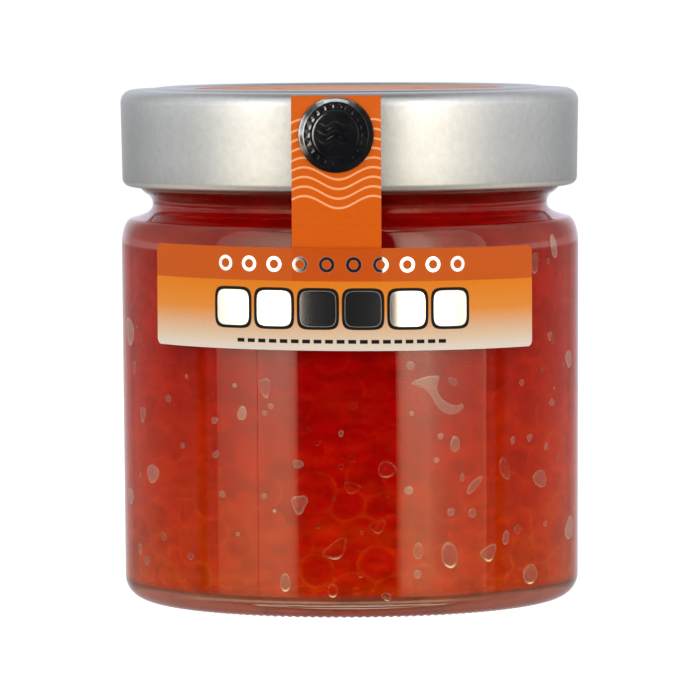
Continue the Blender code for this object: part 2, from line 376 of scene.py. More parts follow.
def roe_colours(s):
    """Colours of the heart of an egg and of the lighter rim and gaps round it.

    Both are deep red above and more orange towards the floor. Just below the
    neck they are lifted as painted light, and in the neck, under the lid, they are
    darker as painted shade. Towards the sides they are more orange as painted
    light, where more light comes through the glass.
    """
    high = roe_height(s)
    x = s.math("ABSOLUTE", s.xyz(s.place())[0])
    # Painted light and shade by height: the colours are lifted just below the neck and darker in the neck, under the
    # lid.
    heart = s.ramp(
        high,
        [
            (0.0, (0.40, 0.0085, 0.0004)),
            (0.09, (0.37, 0.0042, 0.0002)),
            (0.31, (0.305, 0.0005, 0.0001)),
            (0.54, (0.255, 0.0002, 0.0001)),
            (0.80, (0.235, 0.0003, 0.0001)),
            (0.885, (0.30, 0.0003, 0.0001)),
            (0.93, (0.29, 0.0003, 0.0001)),
            (0.965, (0.18, 0.0003, 0.0001)),
            (1.0, (0.15, 0.0003, 0.0001)),
        ],
    )
    light = s.ramp(
        high,
        [
            (0.0, (0.52, 0.0620, 0.0020)),
            (0.09, (0.48, 0.0440, 0.0013)),
            (0.31, (0.42, 0.0135, 0.0005)),
            (0.54, (0.36, 0.0068, 0.0004)),
            (0.80, (0.30, 0.0040, 0.0003)),
            (0.885, (0.31, 0.0010, 0.0002)),
            (0.93, (0.30, 0.0008, 0.0002)),
            (0.965, (0.19, 0.0006, 0.0002)),
            (1.0, (0.16, 0.0006, 0.0002)),
        ],
    )
    more = s.ramp(
        high,
        [
            (0.0, (0.0, 0.0200, 0.0012)),
            (0.09, (0.0, 0.0160, 0.0008)),
            (0.31, (0.055, 0.0135, 0.0005)),
            (0.54, (0.045, 0.0070, 0.0004)),
            (0.80, (0.04, 0.0065, 0.0008)),
            (0.90, (0.0, 0.0200, 0.0070)),
            (1.0, (0.0, 0.0180, 0.0060)),
        ],
    )
    # Painted light: more orange towards the sides, where the soft boxes light the roe.
    aside = s.math(
        "ADD",
        s.math("MULTIPLY", s.span(x, 0.006, 0.022), s.span(high, 0.78, 0.86, 1.0, 0.0)),
        s.math("MULTIPLY", s.span(x, 0.0265, 0.034), 0.9),
    )
    out = []
    for colour in (heart, light):
        n = s.node("ShaderNodeVectorMath", operation="MULTIPLY_ADD")
        s.put(n.inputs[0], more)
        s.put(n.inputs[1], aside)
        s.put(n.inputs[2], colour)
        out.append(n.outputs[0])
    return out


def neck_calm(s):
    """1 below the shoulder, 0 in the neck, where single eggs no longer show."""
    return s.span(s.xyz(s.place())[2], 0.0545, 0.0600, 1.0, 0.10)


def underneath(s):
    """1 on what faces the floor of the jar, close to it."""
    geometry = s.node("ShaderNodeNewGeometry")
    down = s.span(s.xyz(geometry.outputs["Normal"])[2], -0.35, -0.9)
    return s.math("MULTIPLY", down, s.span(s.xyz(s.place())[2], 0.0075, 0.0045))


def under_shade(s):
    """Darker where it faces the floor of the jar, which gets little light."""
    return s.math("SUBTRACT", 1.0, s.math("MULTIPLY", underneath(s), 0.20))


def painted_crease_shade_and_highlight(s, colour):
    """A thin brown line of painted shade, and a paler painted highlight under it, where the wall meets the floor."""
    x, y, z = s.xyz(s.place())
    out = s.math("SQRT", s.math("ADD", s.math("MULTIPLY", x, x), s.math("MULTIPLY", y, y)))
    rim = s.span(out, 0.0315, 0.0325)
    # Painted shade: a thin brown line.
    line = s.math("MULTIPLY", s.span(z, 0.00335, 0.0032), s.span(z, 0.00294, 0.0030))
    line = s.math("MULTIPLY", s.math("MULTIPLY", line, rim), 0.62)
    colour = s.mix(line, colour, (0.110, 0.045, 0.024))
    # Painted highlight: a paler line under it.
    pale = s.math("MULTIPLY", s.span(z, 0.00290, 0.00284), s.span(z, 0.00264, 0.00270))
    pale = s.math("MULTIPLY", s.math("MULTIPLY", pale, rim), s.span(s.math("ABSOLUTE", s.math("ADD", x, 0.003)), 0.024, 0.016))
    return s.mix(s.math("MULTIPLY", pale, 0.7), colour, (0.46, 0.30, 0.17))


def stretched(s):
    """Place for noise that runs level, as the curved glass draws things out."""
    n = s.node("ShaderNodeVectorMath", operation="MULTIPLY")
    s.put(n.inputs[0], s.place())
    n.inputs[1].default_value = (1.0, 1.0, 2.3)
    return n.outputs[0]


def mottle(s):
    """Fine and broader changes in how much light comes back, as a factor near 1."""
    fine = s.math("MULTIPLY", s.math("SUBTRACT", s.noise(s.place(), 800.0, 2.0), 0.5), 0.32)
    broad = s.math("MULTIPLY", s.math("SUBTRACT", s.noise(stretched(s), 250.0, 2.0), 0.5), 0.84)
    aside = s.math("ABSOLUTE", s.xyz(s.place())[0])
    broad = s.math("MULTIPLY", broad, s.span(aside, 0.012, 0.028, 1.0, 0.60))
    return s.math("ADD", 1.0, s.math("ADD", fine, broad))


def below_calm(s):
    """0 under the heap, where single eggs don't show, and 1 above."""
    return s.span(s.xyz(s.place())[2], 0.0034, 0.0042)


def egg_material():
    s = Shade("salmon_egg")
    at = s.place()
    reach = s.attr("reach")  # 0 in the middle of an egg as seen from outside, 1 at its outline
    tone = s.attr("tone")
    heart, light = roe_colours(s)
    soft = s.noise(at, 240.0, 2.0)
    edge = s.math("ADD", reach, s.math("MULTIPLY", s.math("SUBTRACT", soft, 0.5), 0.07))
    ring = s.ramp(
        edge,
        [(0.0, 0.14), (0.30, 0.0), (0.60, 0.03), (0.76, 0.22), (0.86, 0.62), (0.92, 0.70), (0.97, 0.45), (1.0, 0.37)],
    )
    broken = s.span(s.noise(at, 170.0, 2.0), 0.36, 0.62, 0.22, 1.0)
    ring = s.math("MULTIPLY", s.math("MULTIPLY", ring, broken), s.span(tone, 0.0, 1.0, 0.35, 1.0))
    streak = s.span(s.noise(stretched(s), 110.0, 2.0), 0.48, 0.72)
    fleck = s.span(s.noise(at, 420.0, 3.0), 0.56, 0.74)
    patch = s.math("ADD", s.math("MULTIPLY", streak, 0.34), s.math("MULTIPLY", fleck, 0.10))
    amount = s.math("MULTIPLY", s.math("MAXIMUM", ring, patch), s.math("MULTIPLY", neck_calm(s), below_calm(s)))
    colour = s.mix(amount, heart, light)
    # Painted light: what faces the floor of the jar turns paler and browner, as if lit from the floor through the
    # glass.
    colour = s.mix(s.math("MULTIPLY", underneath(s), 0.7), colour, (0.33, 0.066, 0.030))
    colour = painted_crease_shade_and_highlight(s, colour)
    shade = s.math("MULTIPLY", s.span(tone, 0.0, 1.0, 1.06, 0.88), s.math("MULTIPLY", under_shade(s), mottle(s)))
    shader = s.principled(
        Base_Color=tinted(s, colour, shade),
        Roughness=s.span(soft, 0.3, 0.7, 0.22, 0.34),
        IOR=1.36,
        Specular_IOR_Level=0.0,
    )
    return s.done(shader)


def core_material():
    s = Shade("roe_core")
    at = s.place()
    heart, light = roe_colours(s)
    patch = s.span(s.noise(stretched(s), 110.0, 2.0), 0.35, 0.70, 0.12, 0.60)
    patch = s.math("MULTIPLY", s.math("MULTIPLY", patch, neck_calm(s)), below_calm(s))
    colour = s.mix(patch, heart, light)
    # Painted light: what faces the floor of the jar turns paler and browner, as if lit from the floor through the
    # glass.
    colour = s.mix(s.math("MULTIPLY", underneath(s), 0.7), colour, (0.33, 0.066, 0.030))
    colour = painted_crease_shade_and_highlight(s, colour)
    shader = s.principled(
        Base_Color=tinted(s, colour, s.math("MULTIPLY", under_shade(s), mottle(s))),
        Roughness=s.span(s.noise(at, 300.0), 0.3, 0.7, 0.25, 0.4),
        Specular_IOR_Level=0.0,
    )
    return s.done(shader)


def bubble_material():
    """Air caught against the glass: nearly clear, mirroring a little, with a thin lighter rim as a painted reflection
    and a painted highlight on its lower edge.
    """
    s = Shade("air_bubble")
    at = s.place()
    rim = s.attr("rim")  # 0 in the middle, 1 at the edge
    # Painted highlight where low is 1.
    low = s.attr("low")  # 1 at a lower edge that catches the light
    haze = s.attr("haze")
    heart, light = roe_colours(s)
    line_col = s.node("ShaderNodeVectorMath", operation="MULTIPLY_ADD")
    s.put(line_col.inputs[0], light)
    line_col.inputs[1].default_value = (1.15, 2.0, 2.0)
    line_col.inputs[2].default_value = (0.05, 0.035, 0.016)
    grain = s.math("MULTIPLY", s.math("SUBTRACT", s.noise(at, 900.0), 0.5), 0.12)
    # Painted reflection: a lighter line round the edge of the bubble.
    ring = s.ramp(
        s.math("ADD", rim, grain),
        [(0.0, 0.0), (0.66, 0.02), (0.84, 0.9), (0.94, 1.0), (1.0, 0.3)],
    )
    middle = s.mix(haze, heart, (0.60, 0.27, 0.19))
    colour = s.mix(ring, middle, s.mix(haze, line_col.outputs[0], (0.70, 0.36, 0.25)))
    # Painted highlight on the lower edge.
    painted_glint = s.math("MULTIPLY", ring, low, clamp=True)
    colour = s.mix(painted_glint, colour, (0.95, 0.76, 0.42))
    matt = s.principled(Base_Color=colour, Roughness=0.3, Specular_IOR_Level=0.0)
    clear = s.node("ShaderNodeBsdfTransparent")
    veil = s.math("ADD", 0.04, s.math("MULTIPLY", s.math("POWER", haze, 1.5), 0.51))
    solid = s.math("MAXIMUM", veil, s.math("MULTIPLY", ring, s.span(haze, 0.0, 0.8, 0.26, 0.42)))
    solid = s.math("MAXIMUM", solid, painted_glint, clamp=True)
    body = s.node("ShaderNodeMixShader")
    s.put(body.inputs[0], solid)
    s.put(body.inputs[1], clear.outputs[0])
    s.put(body.inputs[2], matt)
    gloss = s.node("ShaderNodeBsdfAnisotropic")
    gloss.inputs["Roughness"].default_value = 0.14
    gloss.inputs["Color"].default_value = (1.0, 0.93, 0.86, 1.0)
    mix = s.node("ShaderNodeMixShader")
    s.put(mix.inputs[0], s.math("ADD", 0.012, s.math("MULTIPLY", haze, 0.05)))
    s.put(mix.inputs[1], body.outputs[0])
    s.put(mix.inputs[2], gloss.outputs[0])
    return s.done(mix.outputs[0])


def metal_material():
    """Satin silver lacquer on tinplate, with a fine orange-peel grain."""
    s = Shade("satin_lid")
    at = s.place()
    fine = s.noise(at, 2600.0, 3.0, 0.6)
    grain = s.noise(at, 900.0, 2.0, 0.5)
    cloud = s.noise(at, 60.0, 2.0)
    speck = s.math("ADD", s.math("MULTIPLY", fine, 0.45), s.math("MULTIPLY", grain, 0.55))
    colour = s.ramp(speck, [(0.32, (0.55, 0.556, 0.550)), (0.68, (0.63, 0.636, 0.630))])
    rough = s.math("ADD", s.span(cloud, 0.3, 0.7, 0.37, 0.41), s.math("MULTIPLY", fine, 0.03))
    # Painted shade: the colour is a little darker towards the lower edge of the lid.
    shader = s.principled(
        Base_Color=tinted(s, colour, s.span(s.xyz(at)[2], 0.067, 0.080, 0.925, 0.99)),
        Metallic=1.0,
        Roughness=rough,
        Normal=s.bump(grain, 0.16, 0.00008),
    )
    return s.done(shader)


def paper_grain(s):
    """Fine coated-paper grain, as a factor near 1."""
    return s.span(s.noise(s.place(), 2600.0, 3.0, 0.6), 0.25, 0.75, 0.965, 1.035)


def tinted(s, colour, factor):
    n = s.node("ShaderNodeVectorMath", operation="SCALE")
    s.put(n.inputs[0], colour)
    s.put(n.inputs["Scale"], factor)
    return n.outputs[0]


def inside(s, value, half, soft=0.03):
    """1 where |value| < half, with a soft edge of that width."""
    return s.span(s.math("ABSOLUTE", value), half - soft, half + soft, 1.0, 0.0)


def wrapped(s, value, pitch):
    """Distance of value from the nearest multiple of pitch, with its sign."""
    n = s.node("ShaderNodeMath", operation="WRAP")
    s.put(n.inputs[0], value)
    n.inputs[1].default_value = pitch / 2
    n.inputs[2].default_value = -pitch / 2
    return n.outputs[0]


def label_material():
    """Orange band over a fade to cream, with foil shapes in a black outline and plain dashes."""
    s = Shade("label_print")
    print_at = s.xyz(s.attr("print_mm", "Vector"))
    u = print_at[0]
    # The print runs with the paper, which sits a little askew.
    z = s.math("SUBTRACT", print_at[1], s.math("MULTIPLY", u, LABEL_LEAN))
    header = (0.46, 0.080, 0.0085)
    fade = s.ramp(
        s.span(z, 42.3, 53.0),
        [
            (0.0, (0.58, 0.525, 0.45)),
            (0.10, (0.59, 0.475, 0.37)),
            (0.21, (0.57, 0.415, 0.275)),
            (0.34, (0.575, 0.345, 0.200)),
            (0.46, (0.595, 0.275, 0.112)),
            (0.60, (0.605, 0.208, 0.032)),
            (1.0, (0.60, 0.165, 0.008)),
        ],
    )
    colour = s.mix(s.span(z, 52.98, 53.06), fade, header)
    # Where the strip lies behind the paper the band is a little deeper.
    behind = inside(s, s.math("ADD", u, 0.58), STRIP_HALF, 0.06)
    behind = s.math("MULTIPLY", behind, s.span(z, 53.0, 53.1))
    colour = s.mix(s.math("MULTIPLY", behind, 0.85), colour, (0.45, 0.062, 0.0040))

    # Middle row: six rounded foil blocks with a broad black outline.
    pitch, count = 7.05, 6
    first = -pitch * (count - 1) / 2
    local = wrapped(s, s.math("SUBTRACT", u, first), pitch)
    in_row = inside(s, u, pitch * count / 2)
    ex = s.math("DIVIDE", s.math("ABSOLUTE", local), 3.33)
    ez = s.math("DIVIDE", s.math("ABSOLUTE", s.math("SUBTRACT", z, 48.72)), 3.28)
    reach = s.math(
        "POWER",
        s.math("ADD", s.math("POWER", ex, 5.0), s.math("POWER", ez, 5.0)),
        0.2,
    )
    block = s.math("MULTIPLY", s.span(reach, 0.985, 1.01, 1.0, 0.0), in_row)
    core = s.math("MULTIPLY", s.span(reach, 0.835, 0.86, 1.0, 0.0), in_row)

    # Top row: ten small foil rings.
    ring_pitch = 4.2
    ring_local = s.math("DIVIDE", wrapped(s, s.math("SUBTRACT", u, ring_pitch / 2), ring_pitch), 1.22)
    ring_z = s.math("DIVIDE", s.math("SUBTRACT", z, 55.62), 1.22)
    far = s.math(
        "SQRT",
        s.math("ADD", s.math("MULTIPLY", ring_local, ring_local), s.math("MULTIPLY", ring_z, ring_z)),
    )
    rings = s.math("MULTIPLY", s.span(far, 0.98, 1.02, 1.0, 0.0), s.span(far, 0.56, 0.60))
    rings = s.math("MULTIPLY", rings, inside(s, u, 21.0))

    # Bottom row: thin dark dashes.
    dash_local = wrapped(s, u, 1.80)
    dash = s.math(
        "MULTIPLY", inside(s, dash_local, 0.62), inside(s, s.math("SUBTRACT", z, 43.62), 0.30)
    )
    dash = s.math("MULTIPLY", dash, inside(s, u, 17.1))

    ink = s.math("MAXIMUM", s.math("SUBTRACT", block, core), dash)
    foil = s.math("MAXIMUM", core, rings)
    colour = tinted(s, colour, paper_grain(s))
    colour = s.mix(ink, colour, (0.010, 0.009, 0.009))
    colour = s.mix(foil, colour, (0.80, 0.80, 0.79))
    rough = s.math("SUBTRACT", 0.50, s.math("MULTIPLY", foil, 0.36))
    shader = s.principled(
        Base_Color=colour,
        Metallic=foil,
        Roughness=rough,
        Specular_IOR_Level=0.05,
        Normal=s.bump(s.noise(s.place(), 1500.0, 2.0), 0.05, 0.00003),
    )
    return s.done(shader)


def strip_material():
    """Orange paper with nine pale wave lines and three rows of thin slits."""
    s = Shade("strip_print")
    at = s.xyz(s.attr("print_mm", "Vector"))
    u, z = at[0], at[1]
    base = s.ramp(
        s.span(z, 53.1, 82.0),
        [(0.0, (0.54, 0.084, 0.0030)), (0.45, (0.545, 0.090, 0.0040)), (1.0, (0.555, 0.100, 0.0085))],
    )
    wave = s.math("MULTIPLY", s.math("COSINE", s.math("MULTIPLY", s.math("SUBTRACT", u, -5.0), 2 * PI / 10.75)), 0.95)
    level = s.math("SUBTRACT", z, wave)
    local = wrapped(s, s.math("SUBTRACT", level, 65.35), 1.49)
    lines = inside(s, local, 0.17, 0.05)
    zone = s.math("MULTIPLY", s.span(level, 64.6, 64.62), s.span(level, 78.0, 78.02, 1.0, 0.0))
    lines = s.math("MULTIPLY", lines, zone)
    slits = None
    for k, level_z in enumerate((61.85, 63.05, 64.2)):
        row = inside(s, s.math("SUBTRACT", z, level_z), 0.05, 0.05)
        row = s.math("MULTIPLY", row, inside(s, wrapped(s, s.math("ADD", u, 0.9 * k), 2.7), 0.62, 0.12))
        slits = row if slits is None else s.math("MAXIMUM", slits, row)
    colour = tinted(s, base, paper_grain(s))
    colour = s.mix(lines, colour, (0.78, 0.33, 0.14))
    colour = s.mix(s.math("MULTIPLY", slits, 0.4), colour, (0.33, 0.05, 0.01))
    shader = s.principled(
        Base_Color=colour,
        Roughness=0.5,
        Specular_IOR_Level=0.05,
        Normal=s.bump(s.noise(s.place(), 1500.0, 2.0), 0.05, 0.00003),
    )
    return s.done(shader)


def disc_material():
    s = Shade("disc_print")
    x, y, z = s.xyz(s.place())
    rad = s.math("SQRT", s.math("ADD", s.math("MULTIPLY", x, x), s.math("MULTIPLY", y, y)))
    base = s.ramp(
        s.span(rad, 0.0, 0.0253),
        [
            (0.0, (0.57, 0.25, 0.105)),
            (0.42, (0.55, 0.215, 0.085)),
            (0.44, (0.56, 0.12, 0.02)),
            (0.48, (0.56, 0.12, 0.02)),
            (0.50, (0.55, 0.215, 0.085)),
            (0.90, (0.53, 0.20, 0.075)),
            (0.92, (0.56, 0.13, 0.03)),
            (1.0, (0.56, 0.13, 0.03)),
        ],
    )
    shader = s.principled(
        Base_Color=tinted(s, base, paper_grain(s)),
        Roughness=0.45,
        Specular_IOR_Level=0.06,
    )
    return s.done(shader)


def black_material():
    s = Shade("black_seal_gloss")
    at = s.place()
    cloud = s.noise(at, 420.0, 3.0)
    colour = s.ramp(cloud, [(0.3, (0.004, 0.004, 0.005)), (0.7, (0.009, 0.009, 0.010))])
    x, _, z = s.xyz(at)
    # Gloss is lowered towards the lower right, which leaves painted shade there.
    gloss_with_painted_shade = s.math("SUBTRACT", s.math("SUBTRACT", z, SEAL_Z * MM), s.math("ADD", x, 2.1 * MM))
    x, z = s.math("ADD", x, 2.1 * MM), s.math("SUBTRACT", z, SEAL_Z * MM)
    far = s.math("SQRT", s.math("ADD", s.math("MULTIPLY", x, x), s.math("MULTIPLY", z, z)))
    rim = s.span(far, 0.83 * SEAL_R * MM, 0.89 * SEAL_R * MM, 0.45, 1.0)
    # Its rounded edge keeps its gloss at the top and on the left only, and is darkened as painted shade elsewhere.
    way = s.math("DIVIDE", s.math("ARCTAN2", z, x), PI)
    at_top = s.span(s.math("ABSOLUTE", s.math("SUBTRACT", way, 0.5)), 0.13, 0.19, 1.0, 0.0)
    at_left = s.span(s.math("ABSOLUTE", way), 0.80, 0.88)
    rim_gloss_with_painted_shade = s.span(s.math("MAXIMUM", at_top, at_left), 0.0, 1.0, 0.12, 1.0)
    within = s.span(far, 0.85 * SEAL_R * MM, 0.87 * SEAL_R * MM, 1.0, 0.0)
    rim = s.math("MULTIPLY", rim, s.math("MAXIMUM", rim_gloss_with_painted_shade, within))
    shader = s.principled(
        Base_Color=colour,
        Roughness=s.span(cloud, 0.3, 0.7, 0.10, 0.20),
        IOR=2.8,
        Specular_IOR_Level=s.math("MULTIPLY", s.span(gloss_with_painted_shade, -0.0005, 0.0048, 0.05, 0.9), rim),
        Normal=s.bump(s.noise(at, 1400.0, 2.0), 0.16, 0.00006),
    )
    return s.done(shader)


# ---------------------------------------------------------------- the jar
def jar_outside():
    pts = [(PUNT_R * k, PUNT_H * (1.0 - 0.62 * k**2.4)) for k in np.linspace(0, 1, 15)]
    pts += rounded(
        [
            (PUNT_R + 0.5, PUNT_H * 0.34),
            (RING_IN_R - 0.8, 0.14),
            (RING_IN_R, 0.0),
            (RING_IN_R + 0.9, 0.0),
        ],
        0.6,
        4,
    )
    pts += [(RING_IN_R + 1.3, 0.0)]
    pts += arc(BODY_R_LOW - HEEL_R, HEEL_R, HEEL_R, -88, 0, 16)
    zs = np.linspace(6.0, SHOULDER_Z - 1.0, 14)
    pts += [(body_radius(z), z) for z in zs]
    corner_r = BODY_R_TOP - (SHOULDER_FLAT_R + 1.6)
    corner_h = SHOULDER_TOP_Z - 0.9 - SHOULDER_Z
    pts += arc(BODY_R_TOP - corner_r, SHOULDER_Z, corner_r, 0, 88, 14, corner_h)
    neck = [
        (SHOULDER_FLAT_R + 0.4, SHOULDER_TOP_Z - 0.55),
        (NECK_R + 0.75, SHOULDER_TOP_Z - 0.02),
        (NECK_R, SHOULDER_TOP_Z + 0.85),
        (NECK_R, NECK_Z + 0.1),
        (NECK_R + 0.55, NECK_Z + 0.9),
        (BEAD_R - 0.7, BEAD_Z - 1.3),
        (BEAD_R, BEAD_Z - 0.5),
        (BEAD_R, BEAD_Z + 0.5),
        (FINISH_R + 0.1, BEAD_Z + 1.6),
        (FINISH_R, BEAD_Z + 3.0),
        (FINISH_R, MOUTH_Z - 1.8),
    ]
    pts += rounded(neck, 0.9, 4)
    pts += arc(FINISH_R - 1.5, MOUTH_Z - 1.5, 1.5, 10, 90, 6)
    return pts


def jar_inside(depth=0.0):
    """Inside of the glass from the lip down to the middle of the floor, moved in by depth."""
    in_r = BODY_R_TOP - WALL - depth
    low_r = BODY_R_LOW - WALL - depth
    mouth = MOUTH_R - depth
    corner = [
        (mouth, MOUTH_Z - 3.0),
        (mouth, SHOULDER_TOP_Z + 1.2),
        (mouth + 0.9, SHOULDER_TOP_Z - 1.1 - depth * 0.5),
        (in_r - 0.9, SHOULDER_Z + 1.6 - depth * 0.5),
        (in_r, SHOULDER_Z - 1.8),
        (in_r - 0.02, SHOULDER_Z - 6.0),
    ]
    pts = rounded(corner, 2.2, 6)[:-1]
    zs = np.linspace(SHOULDER_Z - 6.0, FLOOR_Z + FLOOR_FILLET + 0.5, 12)
    t = (zs - zs[-1]) / (zs[0] - zs[-1])
    pts += [(low_r + (in_r - 0.02 - low_r) * k, z) for k, z in zip(t, zs)]
    fillet = FLOOR_FILLET
    pts += arc(low_r - fillet, FLOOR_Z + depth + fillet, fillet, 0, -90, 12)
    end = low_r - fillet
    for k in (0.92, 0.84, 0.75, 0.6, 0.45, 0.3, 0.15, 0.0):
        pts.append((end * k, FLOOR_Z + depth + FLOOR_CROWN * math.cos(k * PI / 2) ** 0.9))
    return pts


def build_jar(glass, wet):
    outside = jar_outside()
    lip = arc(MOUTH_R + 1.0, MOUTH_Z - 1.0, 1.0, 90, 180, 5)
    inside_pts = [p for p in jar_inside() if p[1] < MOUTH_Z - 2.5]
    profile = outside + lip + inside_pts
    split = len(outside) + len(lip)

    heights = {}
    for i, p in enumerate(profile):
        heights[(round(p[0], 6), round(p[1], 6))] = i

    def pick(p, q):
        i = heights.get((round(float(q[0]), 6), round(float(q[1]), 6)), 0)
        return 1 if i > split and q[1] < ROE_LEVEL + 0.3 else 0

    knurl = 172

    def relief(r, z, ang):
        # Fine ridges on the ring that the jar stands on.
        on_ring = np.clip(1 - np.abs(r - 33.2) / 1.5, 0, 1) * (z < 0.8)
        wave = 0.5 - 0.5 * np.cos(knurl * ang)
        return r, z + on_ring**0.5 * 0.26 * wave

    return revolve(
        "glass_jar", profile, 688, [glass, wet], pick=pick, relief=relief, sharp=1.0
    )


# ---------------------------------------------------------------- the roe
def relaxed_points(points, normals_of, keep, rounds, pitch, rng):
    """Pushes points apart along their surface. keep puts a point back on the surface."""
    for _ in range(rounds):
        d = points[:, None, :] - points[None, :, :]
        dist = np.linalg.norm(d, axis=2) + 1e-9
        np.fill_diagonal(dist, 1e9)
        push = np.clip(pitch * 1.12 - dist, 0, None) / dist
        points = points + 0.32 * (d * push[:, :, None]).sum(1)
        points = keep(points)
    return points


class Inner:
    """The inside of the glass as a curve that an egg can be put back on."""

    def __init__(self, top):
        line_pts = [p for p in jar_inside() if p[1] < top]
        line_pts = [(MOUTH_R, top)] + line_pts
        dense = []
        for a, b in zip(line_pts, line_pts[1:]):
            n = max(int(math.hypot(b[0] - a[0], b[1] - a[1]) / 0.25), 1)
            dense += line(a, b, n)
        self.p = np.array(dense)
        t = np.gradient(self.p, axis=0)
        t /= np.linalg.norm(t, axis=1)[:, None] + 1e-12
        # The profile runs down and in, so the way out is to the right of it, seen along it.
        self.n = np.stack([-t[:, 1], t[:, 0]], 1)
        k = np.ones(9) / 9
        self.n = np.stack([np.convolve(np.pad(self.n[:, i], 4, "edge"), k, "valid") for i in (0, 1)], 1)
        self.n /= np.linalg.norm(self.n, axis=1)[:, None]

    def near(self, xyz):
        r = np.hypot(xyz[:, 0], xyz[:, 1])
        d = (r[:, None] - self.p[None, :, 0]) ** 2 + (xyz[:, 2:3] - self.p[None, :, 1]) ** 2
        return d.argmin(1)

    def keep(self, xyz):
        i = self.near(xyz)
        ang = np.arctan2(xyz[:, 0], -xyz[:, 1])
        r, z = self.p[i, 0], self.p[i, 1]
        return np.stack([r * np.sin(ang), -r * np.cos(ang), z], 1)

    def out(self, xyz):
        i = self.near(xyz)
        ang = np.arctan2(xyz[:, 0], -xyz[:, 1])
        n = self.n[i]
        return np.stack([n[:, 0] * np.sin(ang), -n[:, 0] * np.cos(ang), n[:, 1]], 1)


def egg_template(around=18):
    """An egg pressed against the glass, pole to +Z: points (in radii, and depth in mm), faces, reach."""
    rows = [
        # share of the radius, depth below the glass in mm
        (0.38, 0.000),
        (0.70, 0.001),
        (0.86, 0.003),
        (0.94, 0.006),
        (0.975, 0.014),
        (0.992, 0.04),
        (1.00, 0.35),
        (0.93, 3.00),
        (0.62, 4.60),
    ]
    verts, reach = [(0.0, 0.0, 0.0)], [0.0]
    for share, depth in rows:
        for k in range(around):
            a = 2 * PI * k / around
            verts.append((share * math.cos(a), share * math.sin(a), -depth))
            reach.append(share)
    verts.append((0.0, 0.0, -5.2))
    reach.append(1.0)
    faces = [(0, 1 + k, 1 + (k + 1) % around) for k in range(around)]
    for i in range(len(rows) - 1):
        a, b = 1 + i * around, 1 + (i + 1) * around
        for k in range(around):
            q = (k + 1) % around
            faces.append((a + k, b + k, b + q, a + q))
    last, base = len(verts) - 1, 1 + (len(rows) - 1) * around
    faces += [(last, base + (k + 1) % around, base + k) for k in range(around)]
    return np.array(verts), faces, np.array(reach)


def eggs(name, places, outs, rng, mat, inner, pressed=1.0):
    """Joined egg meshes, pressed flat where they meet the glass."""
    unit, faces, reach = egg_template()
    all_v, all_f, all_s, all_t = [], [], [], []
    for c, out in zip(places, outs):
        radius = EGG_R * rng.uniform(0.82, 1.20)
        # Some lie right at the glass, and others half behind them.
        layer = rng.integers(0, 3)
        sunk = 0.010 * layer + rng.uniform(0, 0.003)
        w = out / np.linalg.norm(out)
        guess = np.array([0.0, 0.0, 1.0]) if abs(w[2]) < 0.8 else np.array([1.0, 0.0, 0.0])
        a = np.cross(guess, w)
        a /= np.linalg.norm(a)
        b = np.cross(w, a)
        # Those further in look drawn out level by the curved glass.
        turn = rng.normal(0, 0.25)
        e1, e2 = a * math.cos(turn) + b * math.sin(turn), -a * math.sin(turn) + b * math.cos(turn)
        sx, sy = rng.uniform(0.96, 1.08) + 0.08 * layer, rng.uniform(0.90, 1.04)
        way = np.arctan2(unit[:, 1], unit[:, 0])
        lobe = 1 + 0.035 * np.sin(3 * way + rng.uniform(0, 6)) + 0.02 * np.sin(4 * way + rng.uniform(0, 6))
        depth = unit[:, 2] * radius / EGG_R
        if pressed < 1.0:
            # Free on this side, so it stands round.
            round_z = -radius * (1 - np.sqrt(np.clip(1 - np.hypot(unit[:, 0], unit[:, 1]) ** 2, 0, 1)))
            front = unit[:, 2] > -1.0
            depth = np.where(front, pressed * depth + (1 - pressed) * round_z, depth - (1 - pressed) * 0.6)
        flat = (
            c
            + unit[:, :1] * radius * e1 * sx * lobe[:, None]
            + unit[:, 1:2] * radius * e2 * sy * lobe[:, None]
        )
        if inner is None:
            v = flat + w * (depth - sunk)[:, None]
        else:
            # Each point lies at its own depth below the curved glass, and the middle just in it.
            way_out = inner.out(flat)
            # Over the middle of the floor they stop just above it, where its wet face mirrors.
            middle = np.clip((24.0 - np.hypot(flat[:, 0], flat[:, 1])) / 1.5, 0, 1)
            lift = 0.045 - 0.09 * middle * (way_out[:, 2] < -0.5)
            v = inner.keep(flat) + way_out * (depth - sunk + lift)[:, None]
        start = len(all_v) * len(unit)
        all_v.append(v)
        all_f += [tuple(start + i for i in f) for f in faces]
        all_s.append(reach)
        all_t.append(np.full(len(unit), rng.uniform(0, 1)))
    return new_mesh(
        name,
        np.vstack(all_v),
        all_f,
        [mat],
        attrs={"reach": np.concatenate(all_s), "tone": np.concatenate(all_t)},
    )


